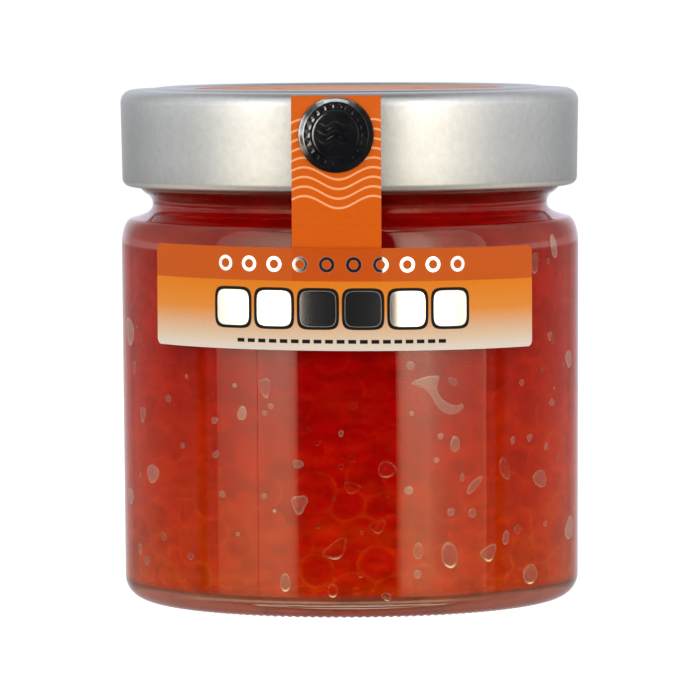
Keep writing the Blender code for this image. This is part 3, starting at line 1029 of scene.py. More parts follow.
def build_roe(egg_mat, core_mat):
    rng = np.random.default_rng(41)
    inner = Inner(ROE_LEVEL - 1.5)
    p = inner.p
    step = np.hypot(*np.diff(p, axis=0).T)
    weight = step * (p[1:, 0] + p[:-1, 0]) / 2
    area = weight.sum() * 2 * PI
    count = int(area / (EGG_PITCH**2 * 0.866) * 1.0)
    cdf = np.cumsum(weight) / weight.sum()
    i = np.searchsorted(cdf, rng.uniform(0, 1, count))
    ang = rng.uniform(0, 2 * PI, count)
    pts = np.stack([p[i, 0] * np.sin(ang), -p[i, 0] * np.cos(ang), p[i, 1]], 1)
    pts = relaxed_points(pts, None, inner.keep, 60, EGG_PITCH, rng)
    outs = inner.out(pts)
    made = []
    low = pts[:, 2] < 31.0
    made.append(eggs("eggs_lower", pts[low], outs[low], rng, egg_mat, inner))
    made.append(eggs("eggs_upper", pts[~low], outs[~low], rng, egg_mat, inner))

    # Top layer, under the lid.
    count = int(PI * 26.5**2 / (EGG_PITCH**2 * 0.866))
    rad = 26.5 * np.sqrt(rng.uniform(0, 1, count))
    ang = rng.uniform(0, 2 * PI, count)
    top = np.stack([rad * np.sin(ang), -rad * np.cos(ang), np.full(count, ROE_LEVEL + 0.75)], 1)

    def keep_top(q):
        r = np.hypot(q[:, 0], q[:, 1])
        f = np.minimum(1.0, 26.4 / np.maximum(r, 1e-6))
        return np.stack([q[:, 0] * f, q[:, 1] * f, q[:, 2]], 1)

    top = relaxed_points(top, None, keep_top, 60, EGG_PITCH, rng)
    up = np.tile([0.0, 0.0, 1.0], (count, 1))
    made.append(eggs("eggs_top", top, up, rng, egg_mat, None, pressed=0.15))

    profile = [
        (r, z + 0.06 * min(max((24.0 - r) / 1.5, 0.0), 1.0) * (z < 6.0))
        for r, z in jar_inside(CORE_DEPTH)
        if z < ROE_LEVEL - 2.5
    ]
    profile = profile[::-1] + [(MOUTH_R - CORE_DEPTH, ROE_LEVEL - 2.2)]
    profile += [((MOUTH_R - CORE_DEPTH) * k, ROE_LEVEL - 1.9) for k in (0.96, 0.7, 0.4, 0.15)]
    profile.append((0.0, ROE_LEVEL - 1.9))
    core = revolve("roe_core", profile, 180, [core_mat], sharp=1.2)
    return made, core


# ---------------------------------------------------------------- the bubbles
def bubble_shape(kind, rng):
    """Outline of a kind of bubble, as its centre line and the way out to its edge, in half sizes."""
    t = np.arange(28) * 2 * PI / 28
    if kind == "comma":  # broad above on the left, thin below, and curled up at the end
        edge = [
            (-26, 15), (-20, 19), (-10, 22), (0, 23), (3, 20), (0, 14), (0, 8), (2, 2), (6, -3),
            (12, -7), (19, -9), (25, -7), (27, -10), (25, -14), (18, -18), (11, -18), (4, -15),
            (-1, -9), (-4, -3), (-7, 3), (-11, 8), (-18, 11),
        ]
        spine = [(-17, 15), (-6, 15), (-2, 8), (2, -4), (9, -12), (22, -12)]
        edge, spine = np.array(edge, float), np.array(spine, float)
        at = np.arange(28) * len(edge) / 28
        ring = np.vstack([edge, edge[:1]])
        edge = np.stack([np.interp(at, np.arange(len(ring)), ring[:, i]) for i in (0, 1)], 1)[::-1]
        which = np.linalg.norm(edge[:, None] - spine[None], axis=2).argmin(1)
        for k in range(28):
            # Neither side passes a point of the middle line by, so its two sides join.
            after = which[(k + 1) % 28]
            if abs(int(which[k]) - int(after)) == 2:
                which[k] = (which[k] + after) // 2
        near = spine[which]
        scale = np.array([27.0, 20.0])
        return near / scale, (edge - near) / scale
    if kind == "round":
        f = np.ones(28)
    elif kind == "drop":  # pointed above, round below
        f = 1.0 + 0.42 * np.clip(np.sin(t), 0, 1) ** 3 - 0.10 * np.abs(np.cos(t))
    elif kind == "wedge":
        f = 1.0 + 0.16 * np.cos(3 * (t - PI / 2) + PI) + 0.06 * np.sin(2 * t)
    else:
        phase = rng.uniform(0, 6)
        f = 1.0 + 0.10 * np.cos(2 * t + phase) + 0.06 * np.cos(3 * t + 2 * phase)
    return np.zeros((28, 2)), np.stack([f * np.cos(t), f * np.sin(t)], 1)


def bubbles(name, items, rng, mat):
    """Flat air bubbles caught against the glass.

    items: (angle, z, half width, half height, kind, tilt, haze, glint).
    """
    levels = [0.0, 0.30, 0.55, 0.74, 0.86, 0.94, 1.0, 0.97, 0.80, 0.45, 0.0]
    bulge = [0.0, 0.0, 0.0, 0.0, 0.01, 0.05, 0.17, 0.30, 0.46, 0.55, 0.6]
    all_v, all_f, rim, low, haze_all = [], [], [], [], []
    for ang, z, a, b, kind, tilt, haze, glint in items:
        bend, out = bubble_shape(kind, rng)
        m = len(bend)
        size = min(a, b) * (0.35 if kind == "comma" else 1.0)
        ct, st = math.cos(tilt), math.sin(tilt)
        face = np.interp(z, [3, 6, 57, 60, 66], [34.3, 34.38, 34.58, 33.3, 29.2]) + 0.11
        start = len(all_v)
        rings = []
        for k, back in zip(levels, bulge):
            ring, known = [], {}
            rings.append(ring)
            for c, o in zip(bend, out):
                px, pz = a * (c[0] + k * o[0]), b * (c[1] + k * o[1])
                # In the middle, points that fall together are one.
                spot = (round(px, 6), round(pz, 6)) if k == 0.0 else len(all_v)
                if spot in known:
                    ring.append(known[spot])
                    continue
                known[spot] = len(all_v)
                ring.append(len(all_v))
                x, h = px * ct - pz * st, px * st + pz * ct
                r = face - back * size * 0.7
                w = ang + x / face
                all_v.append((r * math.sin(w), -r * math.cos(w), z + h))
                rim.append(k if back < 0.2 else 1.0)
                # The lower edge of a bubble gets a painted highlight, as if it caught the light.
                ox, oz = a * o[0], b * o[1]
                down = -(ox * st + oz * ct) / (math.hypot(ox, oz) + 1e-9)
                low.append(glint * min(max(down * 2.2 - 1.2, 0.0), 1.0))
        haze_all += [haze] * (len(all_v) - start)
        for p, n in zip(rings, rings[1:]):
            for k in range(m):
                q = (k + 1) % m
                corners = (p[k], n[k], n[q], p[q])
                corners = tuple(v for i, v in enumerate(corners) if v != corners[i - 1])
                if len(corners) > 2:
                    all_f.append(corners)
    return new_mesh(
        name,
        all_v,
        all_f,
        [mat],
        attrs={"rim": np.array(rim), "low": np.array(low), "haze": np.array(haze_all)},
    )


def seen_angle(px):
    """Angle round the jar of what shows at column px of the front view, through the curved glass."""
    b = (px - 350.5) / 6.18
    phi = math.asin(max(min(b / 36.85, 0.995), -0.995))
    inner = math.asin(max(min(b / 1.5 / 36.85, 0.995), -0.995))
    # Refracted at the outside, then met by the inside of the wall.
    at_wall = math.asin(max(min(b / 1.5 / 34.5, 0.995), -0.995))
    return phi - inner + at_wall


def seen_z(px, py):
    """Height of what shows at (px, py) of the front view, near the inside of the wall."""
    b = (px - 350.5) / 6.18
    near = math.sqrt(max(36.85**2 - b * b, 0.0))
    drop = math.tan((py - 350.0) / 5562.0 + 0.0681) * (900.0 - near)
    return 101.2 - drop - 0.08


def build_bubbles(mat):
    rng = np.random.default_rng(7)
    front = [
        # column, row, half width px, half height px, kind, tilt degrees, haze, glint
        (353, 406, 4.4, 4, "round", 0, 0.0, 0.2),
        (311, 429, 2.6, 2.8, "round", 0, 0.0, 0.2),
        (318, 443, 4.2, 2.4, "odd", 30, 0.0, 0.3),
        (351, 459, 3.6, 3.6, "round", 0, 0.0, 0.2),
        (341, 467, 3.0, 3.0, "round", 0, 0.0, 0.3),
        (385, 470, 10.5, 8, "odd", 0, 0.1, 0.5),
        (351, 488, 8.5, 6, "wedge", -20, 0.0, 0.3),
        (334, 500, 2.2, 2.4, "round", 0, 0.0, 0.2),
        (376, 527, 8.5, 6.5, "wedge", 15, 0.0, 0.4),
        (386, 496, 2.6, 2.6, "round", 0, 0.0, 0.2),
        (318, 526, 3, 3.2, "round", 0, 0.0, 0.3),
        (335, 550, 14, 8.5, "wedge", 35, 0.0, 0.6),
        (359, 575, 3, 3.2, "round", 0, 0.0, 0.6),
        (360, 533, 1.6, 2.0, "round", 0, 0.3, 0.4),
        (299, 464, 6, 4, "odd", 0, 0.7, 0.3),
        (300, 504, 8, 10, "wedge", 0, 0.6, 0.3),
        (245, 413, 5, 7, "odd", 0, 0.9, 0.2),
        (273, 406, 3, 3, "round", 0, 0.7, 0.2),
        (267, 413, 2.6, 2.6, "round", 0, 0.7, 0.2),
        (238, 385, 2.2, 2.2, "round", 0, 0.9, 0.2),
        (218, 420, 3.2, 4, "odd", 0, 0.7, 0.2),
        (219, 454, 3.2, 4, "odd", 0, 0.7, 0.2),
        (225, 494, 3, 4, "odd", 0, 0.7, 0.2),
        (266, 496, 3, 3, "round", 0, 0.7, 0.2),
        (276, 511, 1.8, 1.8, "round", 0, 1.0, 0.3),
        (240, 534, 2.2, 2.2, "round", 0, 0.8, 0.3),
        (155, 473, 7, 9, "odd", 10, 0.8, 0.2),
        (408, 366, 4.5, 4.5, "round", 0, 0.7, 0.2),
        (434, 398, 27, 20, "comma", 0, 0.75, 0.1),
        (449, 382, 5.0, 4.0, "odd", -20, 0.5, 0.2),
        (409, 414, 2.4, 2.4, "round", 0, 0.8, 0.2),
        (406, 491, 4.5, 4.5, "round", 0, 0.85, 0.3),
        (415, 553, 5.5, 7.5, "drop", 0, 0.5, 0.4),
        (447, 513, 4, 4, "round", 0, 0.7, 0.2),
        (437, 437, 3.2, 3.2, "round", 0, 0.8, 0.2),
        (451, 446, 5.5, 7, "drop", 0, 0.7, 0.2),
        (433, 461, 3, 3, "round", 0, 0.8, 0.2),
        (470, 486, 9.5, 4.6, "odd", 45, 0.6, 0.3),
        (458, 479, 2.6, 3.6, "drop", 0, 0.6, 0.3),
        (468, 514, 4, 5, "round", 0, 0.6, 0.3),
        (446, 558, 9.5, 12, "drop", 12, 0.50, 0.9),
        (484, 554, 8.5, 8, "wedge", 20, 0.55, 0.9),
        (414, 575, 4, 4.5, "round", 0, 0.7, 0.3),
        (500, 470, 4.5, 13, "odd", 15, 0.3, 0.2),
        (536, 480, 7, 9.5, "odd", 0, 0.6, 0.2),
        (513, 531, 3.6, 5, "round", 0, 0.4, 0.3),
        (526, 577, 8.5, 9, "drop", 0, 0.6, 1.0),
        (508, 442, 2.4, 3.6, "drop", -15, 0.7, 0.2),
        (525, 439, 2.6, 4.2, "odd", 0, 0.7, 0.2),
        (542, 448, 2, 4, "odd", 0, 0.7, 0.2),
        (541, 525, 2, 3, "odd", 0, 0.7, 0.2),
        (567, 530, 4.5, 12, "odd", 0, 0.95, 0.2),
        (566, 360, 3.5, 9, "odd", 0, 0.9, 0.2),
        (132, 330, 5, 14, "odd", -8, 0.9, 0.2),
        (131, 495, 3.5, 8, "odd", 0, 0.9, 0.2),
        (286, 584, 6, 8, "drop", 0, 0.6, 1.0),
        (332, 592, 6, 6, "drop", 0, 0.1, 1.0),
        (384, 597, 5, 4, "odd", 0, 0.3, 0.8),
        (172, 398, 3, 4, "round", 0, 0.6, 0.2),
        (186, 445, 2.5, 3.4, "round", 0, 0.6, 0.2),
        (166, 536, 3, 4, "odd", 0, 0.5, 0.2),
        (193, 556, 3.4, 3.8, "round", 0, 0.5, 0.3),
        (148, 560, 3, 5, "odd", 0, 0.6, 0.3),
        (517, 384, 2.6, 3.4, "round", 0, 0.6, 0.2),
        (548, 404, 2.4, 4.4, "odd", 0, 0.7, 0.2),
    ]
    items = []
    for px, py, hw, hh, kind, tilt, haze, glint in front:
        ang = seen_angle(px)
        # The side of the jar is seen edge on, so a bubble there is wider than it looks.
        spread = (seen_angle(px + 1) - seen_angle(px - 1)) / 2 * 34.5
        items.append(
            (ang, seen_z(px, py), hw * spread, hh / 6.42, kind, math.radians(tilt), haze, glint)
        )
    # The same sort of bubbles, strewn round the rest of the jar.
    strewn = 0
    while strewn < 150:
        ang = rng.uniform(-PI, PI)
        z = rng.uniform(5.0, 57.0)
        if abs(ang) < 1.15 and z < 42.0 and rng.uniform() < 0.82:
            continue
        big = rng.uniform() < 0.22
        size = rng.uniform(0.8, 1.5) if big else rng.uniform(0.25, 0.55)
        kind = rng.choice(["odd", "drop", "wedge"]) if big else "round"
        items.append(
            (
                ang,
                z,
                size * rng.uniform(0.7, 1.1),
                size * rng.uniform(0.8, 1.25),
                str(kind),
                rng.uniform(-0.5, 0.5),
                rng.uniform(0.3, 0.8),
                rng.uniform(0.1, 0.5),
            )
        )
        strewn += 1
    return bubbles("air_bubbles", items, rng, mat)


# ---------------------------------------------------------------- lid, paper, seal
def build_lid(mat):
    out = [(0.0, PANEL_Z)]
    top = [
        (0.4, PANEL_Z),
        (PANEL_R, PANEL_Z),
        (PANEL_R + 0.9, PANEL_Z + 0.18),
        (RING_R - RING_HALF - 0.4, LID_SHELF_Z - 0.02),
    ]
    out += rounded(top, 0.5, 5)
    out += arc(RING_R, LID_SHELF_Z, RING_HALF, 172, 8, 12, LID_TOP_Z - LID_SHELF_Z)
    out += [(RING_R + RING_HALF + 0.3, LID_SHELF_Z), (RING_R + RING_HALF + 1.2, LID_SHELF_Z)]
    out += arc(LID_R_TOP - LID_EDGE, LID_SHELF_Z - LID_EDGE, LID_EDGE, 90, 0, 14)
    out += [
        (LID_R_TOP + (LID_R_LOW - LID_R_TOP) * k, LID_SHELF_Z - LID_EDGE - (LID_SHELF_Z - LID_EDGE - LID_LOW_Z - CURL_R) * k)
        for k in (0.25, 0.5, 0.75)
    ]
    out += arc(LID_R_LOW - CURL_R, LID_LOW_Z + CURL_R, CURL_R, 0, -180, 18)
    inner = LID_R_LOW - LID_SKIN
    out += [(LID_R_LOW - 2 * CURL_R + 0.3, LID_LOW_Z + CURL_R + 0.9)]
    out += [(inner, LID_LOW_Z + 2 * CURL_R + 0.5)]
    out += [(LID_R_TOP - LID_SKIN, LID_SHELF_Z - LID_EDGE - 0.2)]
    out += [(LID_R_TOP - LID_SKIN - 1.3, LID_SHELF_Z - LID_SKIN - 0.1)]
    out += [(PANEL_R + 1.5, PANEL_Z - LID_SKIN + 0.1), (PANEL_R, PANEL_Z - LID_SKIN)]
    out += [(0.0, PANEL_Z - LID_SKIN)]
    return revolve("twist_off_lid", out, 360, [mat], sharp=0.7)


def build_disc(mat):
    z = PANEL_Z + GAP
    prof = [(0.0, z), (DISC_R - 0.05, z), (DISC_R, z + 0.04), (DISC_R, z + DISC_T - 0.04)]
    prof += [(DISC_R - 0.05, z + DISC_T), (DISC_R * 0.5, z + DISC_T), (0.0, z + DISC_T)]
    return revolve("lid_disc_print", prof, 180, [mat], sharp=0.9)


def sheet_mesh(name, cols, rows_of, turn, radius_of, mat):
    front, back = [], []
    verts, at = [], []
    for u in cols:
        for zz in rows_of(u):
            r = radius_of(zz, u)
            front.append(on_cylinder(r + PAPER, turn, u * (r + PAPER) / r, zz))
            back.append(on_cylinder(r, turn, u, zz))
            at.append((u, zz, 0.0))
    nu, nz = len(cols), len(rows_of(cols[0]))
    verts = front + back
    off = len(front)
    faces = []
    for i in range(nu - 1):
        for j in range(nz - 1):
            a, b = i * nz + j, (i + 1) * nz + j
            faces.append((a, b, b + 1, a + 1))
            faces.append((off + a, off + a + 1, off + b + 1, off + b))
    for i in range(nu - 1):
        a, b = i * nz, (i + 1) * nz
        faces.append((a, off + a, off + b, b))
        a, b = a + nz - 1, b + nz - 1
        faces.append((a, b, off + b, off + a))
    for j in range(nz - 1):
        a = j
        faces.append((a, a + 1, off + a + 1, off + a))
        a = (nu - 1) * nz + j
        faces.append((a, off + a, off + a + 1, a + 1))
    return new_mesh(name, verts, faces, [mat], attrs={"print_mm": np.array(at + at)}, sharp=0.7)


def build_label(mat):
    radius = body_radius(LABEL_HIGH_Z) + GAP
    half = math.radians(LABEL_HALF) * radius
    inner = half - LABEL_CORNER
    turn = [LABEL_CORNER * math.sin(k * PI / 16) for k in range(1, 9)]
    cols = [-inner - d for d in reversed(turn)]
    cols += list(np.linspace(-inner, inner, 171))
    cols += [inner + d for d in turn]

    def rows(u):
        past = max(abs(u) - inner, 0.0)
        cut = LABEL_CORNER - math.sqrt(max(LABEL_CORNER**2 - past**2, 0.0))
        return list(np.linspace(LABEL_LOW_Z + cut, LABEL_HIGH_Z - cut, 25) + LABEL_LEAN * u)

    return sheet_mesh("front_label_print", cols, rows, LABEL_TURN, label_radius, mat)


def label_radius(z, u):
    """Inside radius of the front label: on the glass, and raised over the strip's lower end."""
    middle = math.radians(STRIP_TURN - LABEL_TURN) * BODY_R_TOP
    aside = min(max((abs(u - middle) - STRIP_HALF - 0.3) / 0.9, 0.0), 1.0)
    below = min(max((STRIP_LOW_Z - 0.2 - z) / 0.8, 0.0), 1.0)
    aside = aside * aside * (3 - 2 * aside)
    return body_radius(z) + GAP + (PAPER + GAP) * (1.0 - aside) * (1.0 - below)


def strip_radius(z):
    edge_z = LID_SHELF_Z - LID_EDGE
    if z > edge_z:
        d = min((z - edge_z) / (LID_EDGE + GAP), 1.0)
        return LID_R_TOP - LID_EDGE + (LID_EDGE + GAP) * math.sqrt(1.0 - d * d)
    curl_z = LID_LOW_Z + CURL_R
    if z > curl_z:
        t = (z - curl_z) / (edge_z - curl_z)
        return LID_R_LOW + (LID_R_TOP - LID_R_LOW) * t + GAP
    on_glass = body_radius(z) + GAP
    t = min(max((z - LABEL_HIGH_Z - 0.6) / (curl_z - LABEL_HIGH_Z - 0.6), 0.0), 1.0)
    return on_glass + (LID_R_LOW + GAP - on_glass) * t


def build_strip(mat):
    cols = list(np.linspace(-STRIP_HALF, STRIP_HALF, 31))
    edge_z = LID_SHELF_Z - LID_EDGE
    reach = (LID_EDGE + GAP) * 0.8
    heights = list(np.linspace(STRIP_LOW_Z, edge_z, 56))
    heights += [edge_z + reach * math.sin(math.radians(a)) for a in range(8, 91, 8)]
    return sheet_mesh(
        "seal_strip_print", cols, lambda u: heights, STRIP_TURN, lambda z, u: strip_radius(z), mat
    )


def build_seal(mat):
    """A black seal: a border of small bars, a thin ring, and three waves in the middle."""
    base_r = strip_radius(SEAL_Z) + PAPER + GAP
    around, levels = 216, 60
    t = np.concatenate([np.linspace(0.02, 0.87, 40), np.linspace(0.878, 0.965, 10), np.linspace(0.97, 1.0, 10)])
    a = np.arange(around) * 2 * PI / around
    tt, aa = np.meshgrid(t, a, indexing="ij")

    def smooth(v, lo, hi):
        k = np.clip((v - lo) / (hi - lo), 0, 1)
        return k * k * (3 - 2 * k)

    # A low dome with a rounded edge, a border of small bars and three waves in the middle.
    bevel = np.clip((tt - 0.87) / 0.095, 0, 1)
    edge = np.clip((tt - 0.965) / 0.035, 0, 1)
    h = 0.80 - 0.10 * np.clip(tt / 0.87, 0, 1) ** 2 - 0.34 * bevel - 0.02 * bevel**2 - 0.20 * (1 - np.sqrt(1 - edge**2))
    x, y = tt * np.cos(aa), tt * np.sin(aa)
    bars = smooth(np.cos(22 * aa), -0.05, 0.35) * smooth(tt, 0.69, 0.715) * (1 - smooth(tt, 0.80, 0.825))
    h -= 0.06 * bars
    inside_ring = smooth(-tt, -0.52, -0.49)
    for level in (-0.24, 0.0, 0.24):
        off = np.abs(y - level - 0.055 * np.cos(x * 2 * PI / 0.52))
        h -= 0.06 * smooth(-off, -0.075, -0.045) * inside_ring
    ring = smooth(tt, 0.60, 0.62) * (1 - smooth(tt, 0.635, 0.655))
    h -= 0.06 * ring
    h = np.minimum(h, SEAL_T)
    verts, faces = [], []
    for i in range(levels):
        for k in range(around):
            verts.append(on_cylinder(base_r + h[i, k], STRIP_TURN, SEAL_R * x[i, k], SEAL_Z + SEAL_R * y[i, k]))
    for k in range(around):
        verts.append(on_cylinder(base_r, STRIP_TURN, SEAL_R * x[-1, k], SEAL_Z + SEAL_R * y[-1, k]))
    top, bottom = len(verts), len(verts) + 1
    verts.append(on_cylinder(base_r + float(h[0].mean()), STRIP_TURN, 0, SEAL_Z))
    verts.append(on_cylinder(base_r, STRIP_TURN, 0, SEAL_Z))
    for k in range(around):
        n = (k + 1) % around
        faces.append((top, k, n))
        for i in range(levels):
            p, q = i * around, (i + 1) * around
            faces.append((p + k, q + k, q + n, p + n))
        faces.append((bottom, levels * around + n, levels * around + k))
    return new_mesh("round_black_seal", verts, faces, [mat], sharp=0.9)


# ---------------------------------------------------------------- studio
def grey_stops(node, stops):
    """Sets a colour ramp's stops from (position, grey or colour) pairs."""
    ramp = node.color_ramp
    while len(ramp.elements) < len(stops):
        ramp.elements.new(0.5)
    for e, (pos, v) in zip(ramp.elements, stops):
        e.position = pos
        e.color = (*v, 1.0) if isinstance(v, tuple) else (v, v, v, 1.0)


def soft_box(name, azimuth0, azimuth1, z0, z1, distance, radiance, across, upward):
    """A soft box that fills the view from the jar between two azimuths, 0 being towards the camera.

    across is its brightness from azimuth0 to azimuth1, upward its colour from z0 to z1.
    """
    mid, half = math.radians((azimuth0 + azimuth1) / 2), math.radians((azimuth1 - azimuth0) / 2)
    width = 2 * distance * math.tan(half)
    data = bpy.data.lights.new(name, "AREA")
    data.shape = "RECTANGLE"
    data.size, data.size_y = width, z1 - z0
    data.energy = radiance * PI * width * (z1 - z0)
    data.use_nodes = True
    nodes, links = data.node_tree.nodes, data.node_tree.links
    glow = nodes["Emission"]
    geo = nodes.new("ShaderNodeNewGeometry")
    cut = nodes.new("ShaderNodeSeparateXYZ")
    links.new(geo.outputs["Parametric"], cut.inputs[0])
    for out, stops, socket in (
        (cut.outputs[0], across, glow.inputs["Strength"]),
        (cut.outputs[1], upward, glow.inputs["Color"]),
    ):
        ramp = nodes.new("ShaderNodeValToRGB")
        grey_stops(ramp, stops)
        links.new(out, ramp.inputs[0])
        links.new(ramp.outputs[0], socket)
    lamp = bpy.data.objects.new(name, data)
    bpy.context.scene.collection.objects.link(lamp)
    away = Vector((math.sin(mid), -math.cos(mid), 0.0))
    lamp.location = away * distance + Vector((0, 0, (z0 + z1) / 2))
    lamp.rotation_mode = "QUATERNION"
    lamp.rotation_quaternion = away.to_track_quat("Z", "Y")
    return lamp


def studio():
    scene = bpy.context.scene
    scene.view_settings.view_transform = "Standard"
    scene.view_settings.look = "None"
    scene.view_settings.exposure = 0.0
    scene.view_settings.gamma = 1.0

    world = bpy.data.worlds.new("studio")
    scene.world = world
    world.use_nodes = True
    tree = world.node_tree
    tree.nodes.clear()
    out = tree.nodes.new("ShaderNodeOutputWorld")
    seen = tree.nodes.new("ShaderNodeBackground")
    seen.inputs[0].default_value = (1.0, 1.0, 1.0, 1.0)
    seen.inputs[1].default_value = 1.02
    around = tree.nodes.new("ShaderNodeBackground")
    around.inputs[1].default_value = 1.0
    coord = tree.nodes.new("ShaderNodeTexCoord")
    split = tree.nodes.new("ShaderNodeSeparateXYZ")
    tree.links.new(coord.outputs["Generated"], split.inputs[0])

    def m(op, a, b=None):
        n = tree.nodes.new("ShaderNodeMath")
        n.operation = op
        for socket, v in zip(n.inputs, (a, b)):
            if isinstance(v, bpy.types.NodeSocket):
                tree.links.new(v, socket)
            elif v is not None:
                socket.default_value = v
        return n.outputs[0]

    def grey_ramp(fac, stops):
        node = tree.nodes.new("ShaderNodeValToRGB")
        grey_stops(node, [(pos, v if isinstance(v, tuple) else (v * 0.98, v, v * 1.03)) for pos, v in stops])
        tree.links.new(fac, node.inputs[0])
        return node.outputs[0]

    def blend(lo, hi, a, b):
        """a below, b above, by the height of the direction."""
        lift = tree.nodes.new("ShaderNodeMapRange")
        lift.inputs[1].default_value, lift.inputs[2].default_value = lo, hi
        tree.links.new(split.outputs[2], lift.inputs[0])
        mix = tree.nodes.new("ShaderNodeMix")
        mix.data_type = "RGBA"
        tree.links.new(lift.outputs[0], mix.inputs[0])
        for socket, v in ((mix.inputs[6], a), (mix.inputs[7], b)):
            if isinstance(v, bpy.types.NodeSocket):
                tree.links.new(v, socket)
            else:
                socket.default_value = (v, v, v, 1.0)
        return mix.outputs[2]

    azimuth = m("ARCTAN2", split.outputs[0], m("MULTIPLY", split.outputs[1], -1.0))
    turn = m("DIVIDE", m("ABSOLUTE", azimuth), PI)
    # Just below the horizon: the dim edge of the table and the walls behind it.
    low = grey_ramp(
        turn,
        [
            (0.0, 0.012),
            (0.13, 0.012),
            (0.16, 0.12),
            (0.395, 0.20),
            (0.425, 0.20),
            (0.436, 0.02),
            (0.455, 0.035),
            (0.475, 0.19),
            (0.55, 0.165),
            (0.65, 0.24),
            (0.74, 0.29),
            (0.775, 0.31),
            (0.80, 0.25),
            (0.83, 0.33),
            (0.86, 0.42),
            (0.91, 0.62),
            (1.0, 0.9),
        ],
    )
    band = grey_ramp(
        turn,
        [(0.0, 0.02), (0.12, 0.05), (0.16, 0.3), (0.36, 0.85), (0.40, 1.28), (0.46, 1.85), (0.55, 1.72), (0.64, 1.32), (0.73, 0.74), (0.80, 0.55), (0.88, (0.86, 0.88, 1.0)), (1.0, (0.92, 0.95, 1.08))],
    )
    high = grey_ramp(
        turn,
        [(0.0, 0.03), (0.12, 0.05), (0.16, 0.20), (0.36, 0.46), (0.40, 0.78), (0.46, 0.96), (0.55, 0.90), (0.64, 0.72), (0.72, 0.47), (0.80, 0.5), (0.88, (0.86, 0.88, 1.0)), (1.0, (0.92, 0.95, 1.08))],
    )
    # The table, lit most under the boxes and to the sides.
    top = grey_ramp(
        turn,
        [
            (0.0, 0.20), (0.11, 0.24), (0.16, (0.55, 0.49, 0.42)), (0.34, (0.55, 0.49, 0.42)),
            (0.40, (0.85, 0.78, 0.68)), (0.50, (1.10, 1.02, 0.90)), (0.64, (1.0, 0.93, 0.82)), (0.74, (0.70, 0.66, 0.60)),
            (0.84, 0.5), (1.0, 0.5),
        ],
    )
    table = blend(-0.30, -0.18, top, low)
    line = blend(-0.045, -0.025, table, band)
    walls = blend(0.04, 0.07, line, high)
    # The glow of the soft boxes on the ceiling, brightest to both sides.
    ceiling = grey_ramp(turn, [(0.0, 0.02), (0.10, 0.02), (0.15, 0.05), (0.19, 0.16), (0.24, 0.42), (0.30, 0.83), (0.34, 1.13), (0.40, 0.92), (0.48, 0.78), (0.57, 1.12), (0.66, 0.72), (0.72, 0.60), (1.0, 0.45)])
    glow = blend(0.52, 0.62, walls, ceiling)
    sky = blend(0.88, 0.95, glow, 0.10)
    tree.links.new(sky, around.inputs[0])
    path = tree.nodes.new("ShaderNodeLightPath")
    pick = tree.nodes.new("ShaderNodeMixShader")
    # What is seen through the length of the glass comes out dim and a little brown.
    behind = tree.nodes.new("ShaderNodeBackground")
    green = tree.nodes.new("ShaderNodeMix")
    green.data_type = "RGBA"
    green.blend_type = "MULTIPLY"
    green.inputs[0].default_value = 1.0
    tree.links.new(sky, green.inputs[6])
    green.inputs[7].default_value = (0.60, 0.54, 0.40, 1.0)
    tree.links.new(green.outputs[2], behind.inputs[0])
    through = tree.nodes.new("ShaderNodeMixShader")
    tree.links.new(path.outputs["Is Transmission Ray"], through.inputs[0])
    tree.links.new(around.outputs[0], through.inputs[1])
    tree.links.new(behind.outputs[0], through.inputs[2])
    tree.links.new(path.outputs["Is Camera Ray"], pick.inputs[0])
    tree.links.new(through.outputs[0], pick.inputs[1])
    tree.links.new(seen.outputs[0], pick.inputs[2])
    tree.links.new(pick.outputs[0], out.inputs[0])

    # Brightest at table height, and warm below it, where the table mirrors the jar.
    upward = [
        (0.0, (0.10, 0.08, 0.03)),
        (0.092, (0.60, 0.53, 0.26)),
        (0.112, (0.80, 0.60, 0.35)),
        (0.133, (0.95, 0.79, 0.58)),
        (0.173, (1.0, 0.94, 0.84)),
        (0.21, (0.98, 0.95, 0.90)),
        (0.50, (0.96, 0.93, 0.89)),
        (0.70, (0.72, 0.70, 0.68)),
        (1.0, (0.60, 0.59, 0.58)),
    ]
    soft_box(
        "soft_box_left_far", -70.0, -47.18, -0.30, 1.50, 1.35, 3.1,
        [(0.0, 0.30), (0.10, 0.38), (0.194, 0.43), (0.431, 0.53), (0.662, 0.66), (0.89, 0.80), (1.0, 0.84)],
        upward,
    )
    soft_box(
        "soft_box_left_near", -46.82, -26.0, -0.30, 1.50, 1.35, 3.3,
        [(0.0, 0.88), (0.30, 0.87), (0.53, 1.0), (0.76, 0.98), (0.90, 0.70), (1.0, 0.14)],
        upward,
    )
    soft_box(
        "soft_box_right", 22.0, 71.0, -0.30, 1.50, 1.35, 4.3,
        [
            (0.0, 0.10), (0.05, 0.60), (0.09, 0.88), (0.15, 0.95), (0.25, 0.92), (0.34, 0.97), (0.43, 0.62),
            (0.53, 0.45), (0.62, 0.36), (0.73, 0.31), (0.83, 0.23), (0.94, 0.26), (0.975, 0.35), (1.0, 0.35),
        ],
        upward,
    )
    strip = bpy.data.lights.new("overhead_strip", "AREA")
    strip.shape = "RECTANGLE"
    strip.size, strip.size_y = 1.15, 0.30
    strip.energy = 1.5 * PI * strip.size * strip.size_y
    lamp = bpy.data.objects.new("overhead_strip", strip)
    scene.collection.objects.link(lamp)
    lamp.location = (-0.08, -0.62, 1.28)
    lamp.rotation_mode = "QUATERNION"
    lamp.rotation_quaternion = Vector((-0.08, -0.62, 1.20)).to_track_quat("Z", "Y")
    lamp.visible_diffuse = False
    over = bpy.data.lights.new("overhead", "AREA")
    over.shape = "RECTANGLE"
    over.size, over.size_y = 1.2, 0.9
    over.energy = 1.2 * PI * over.size * over.size_y
    lamp = bpy.data.objects.new("overhead", over)
    scene.collection.objects.link(lamp)
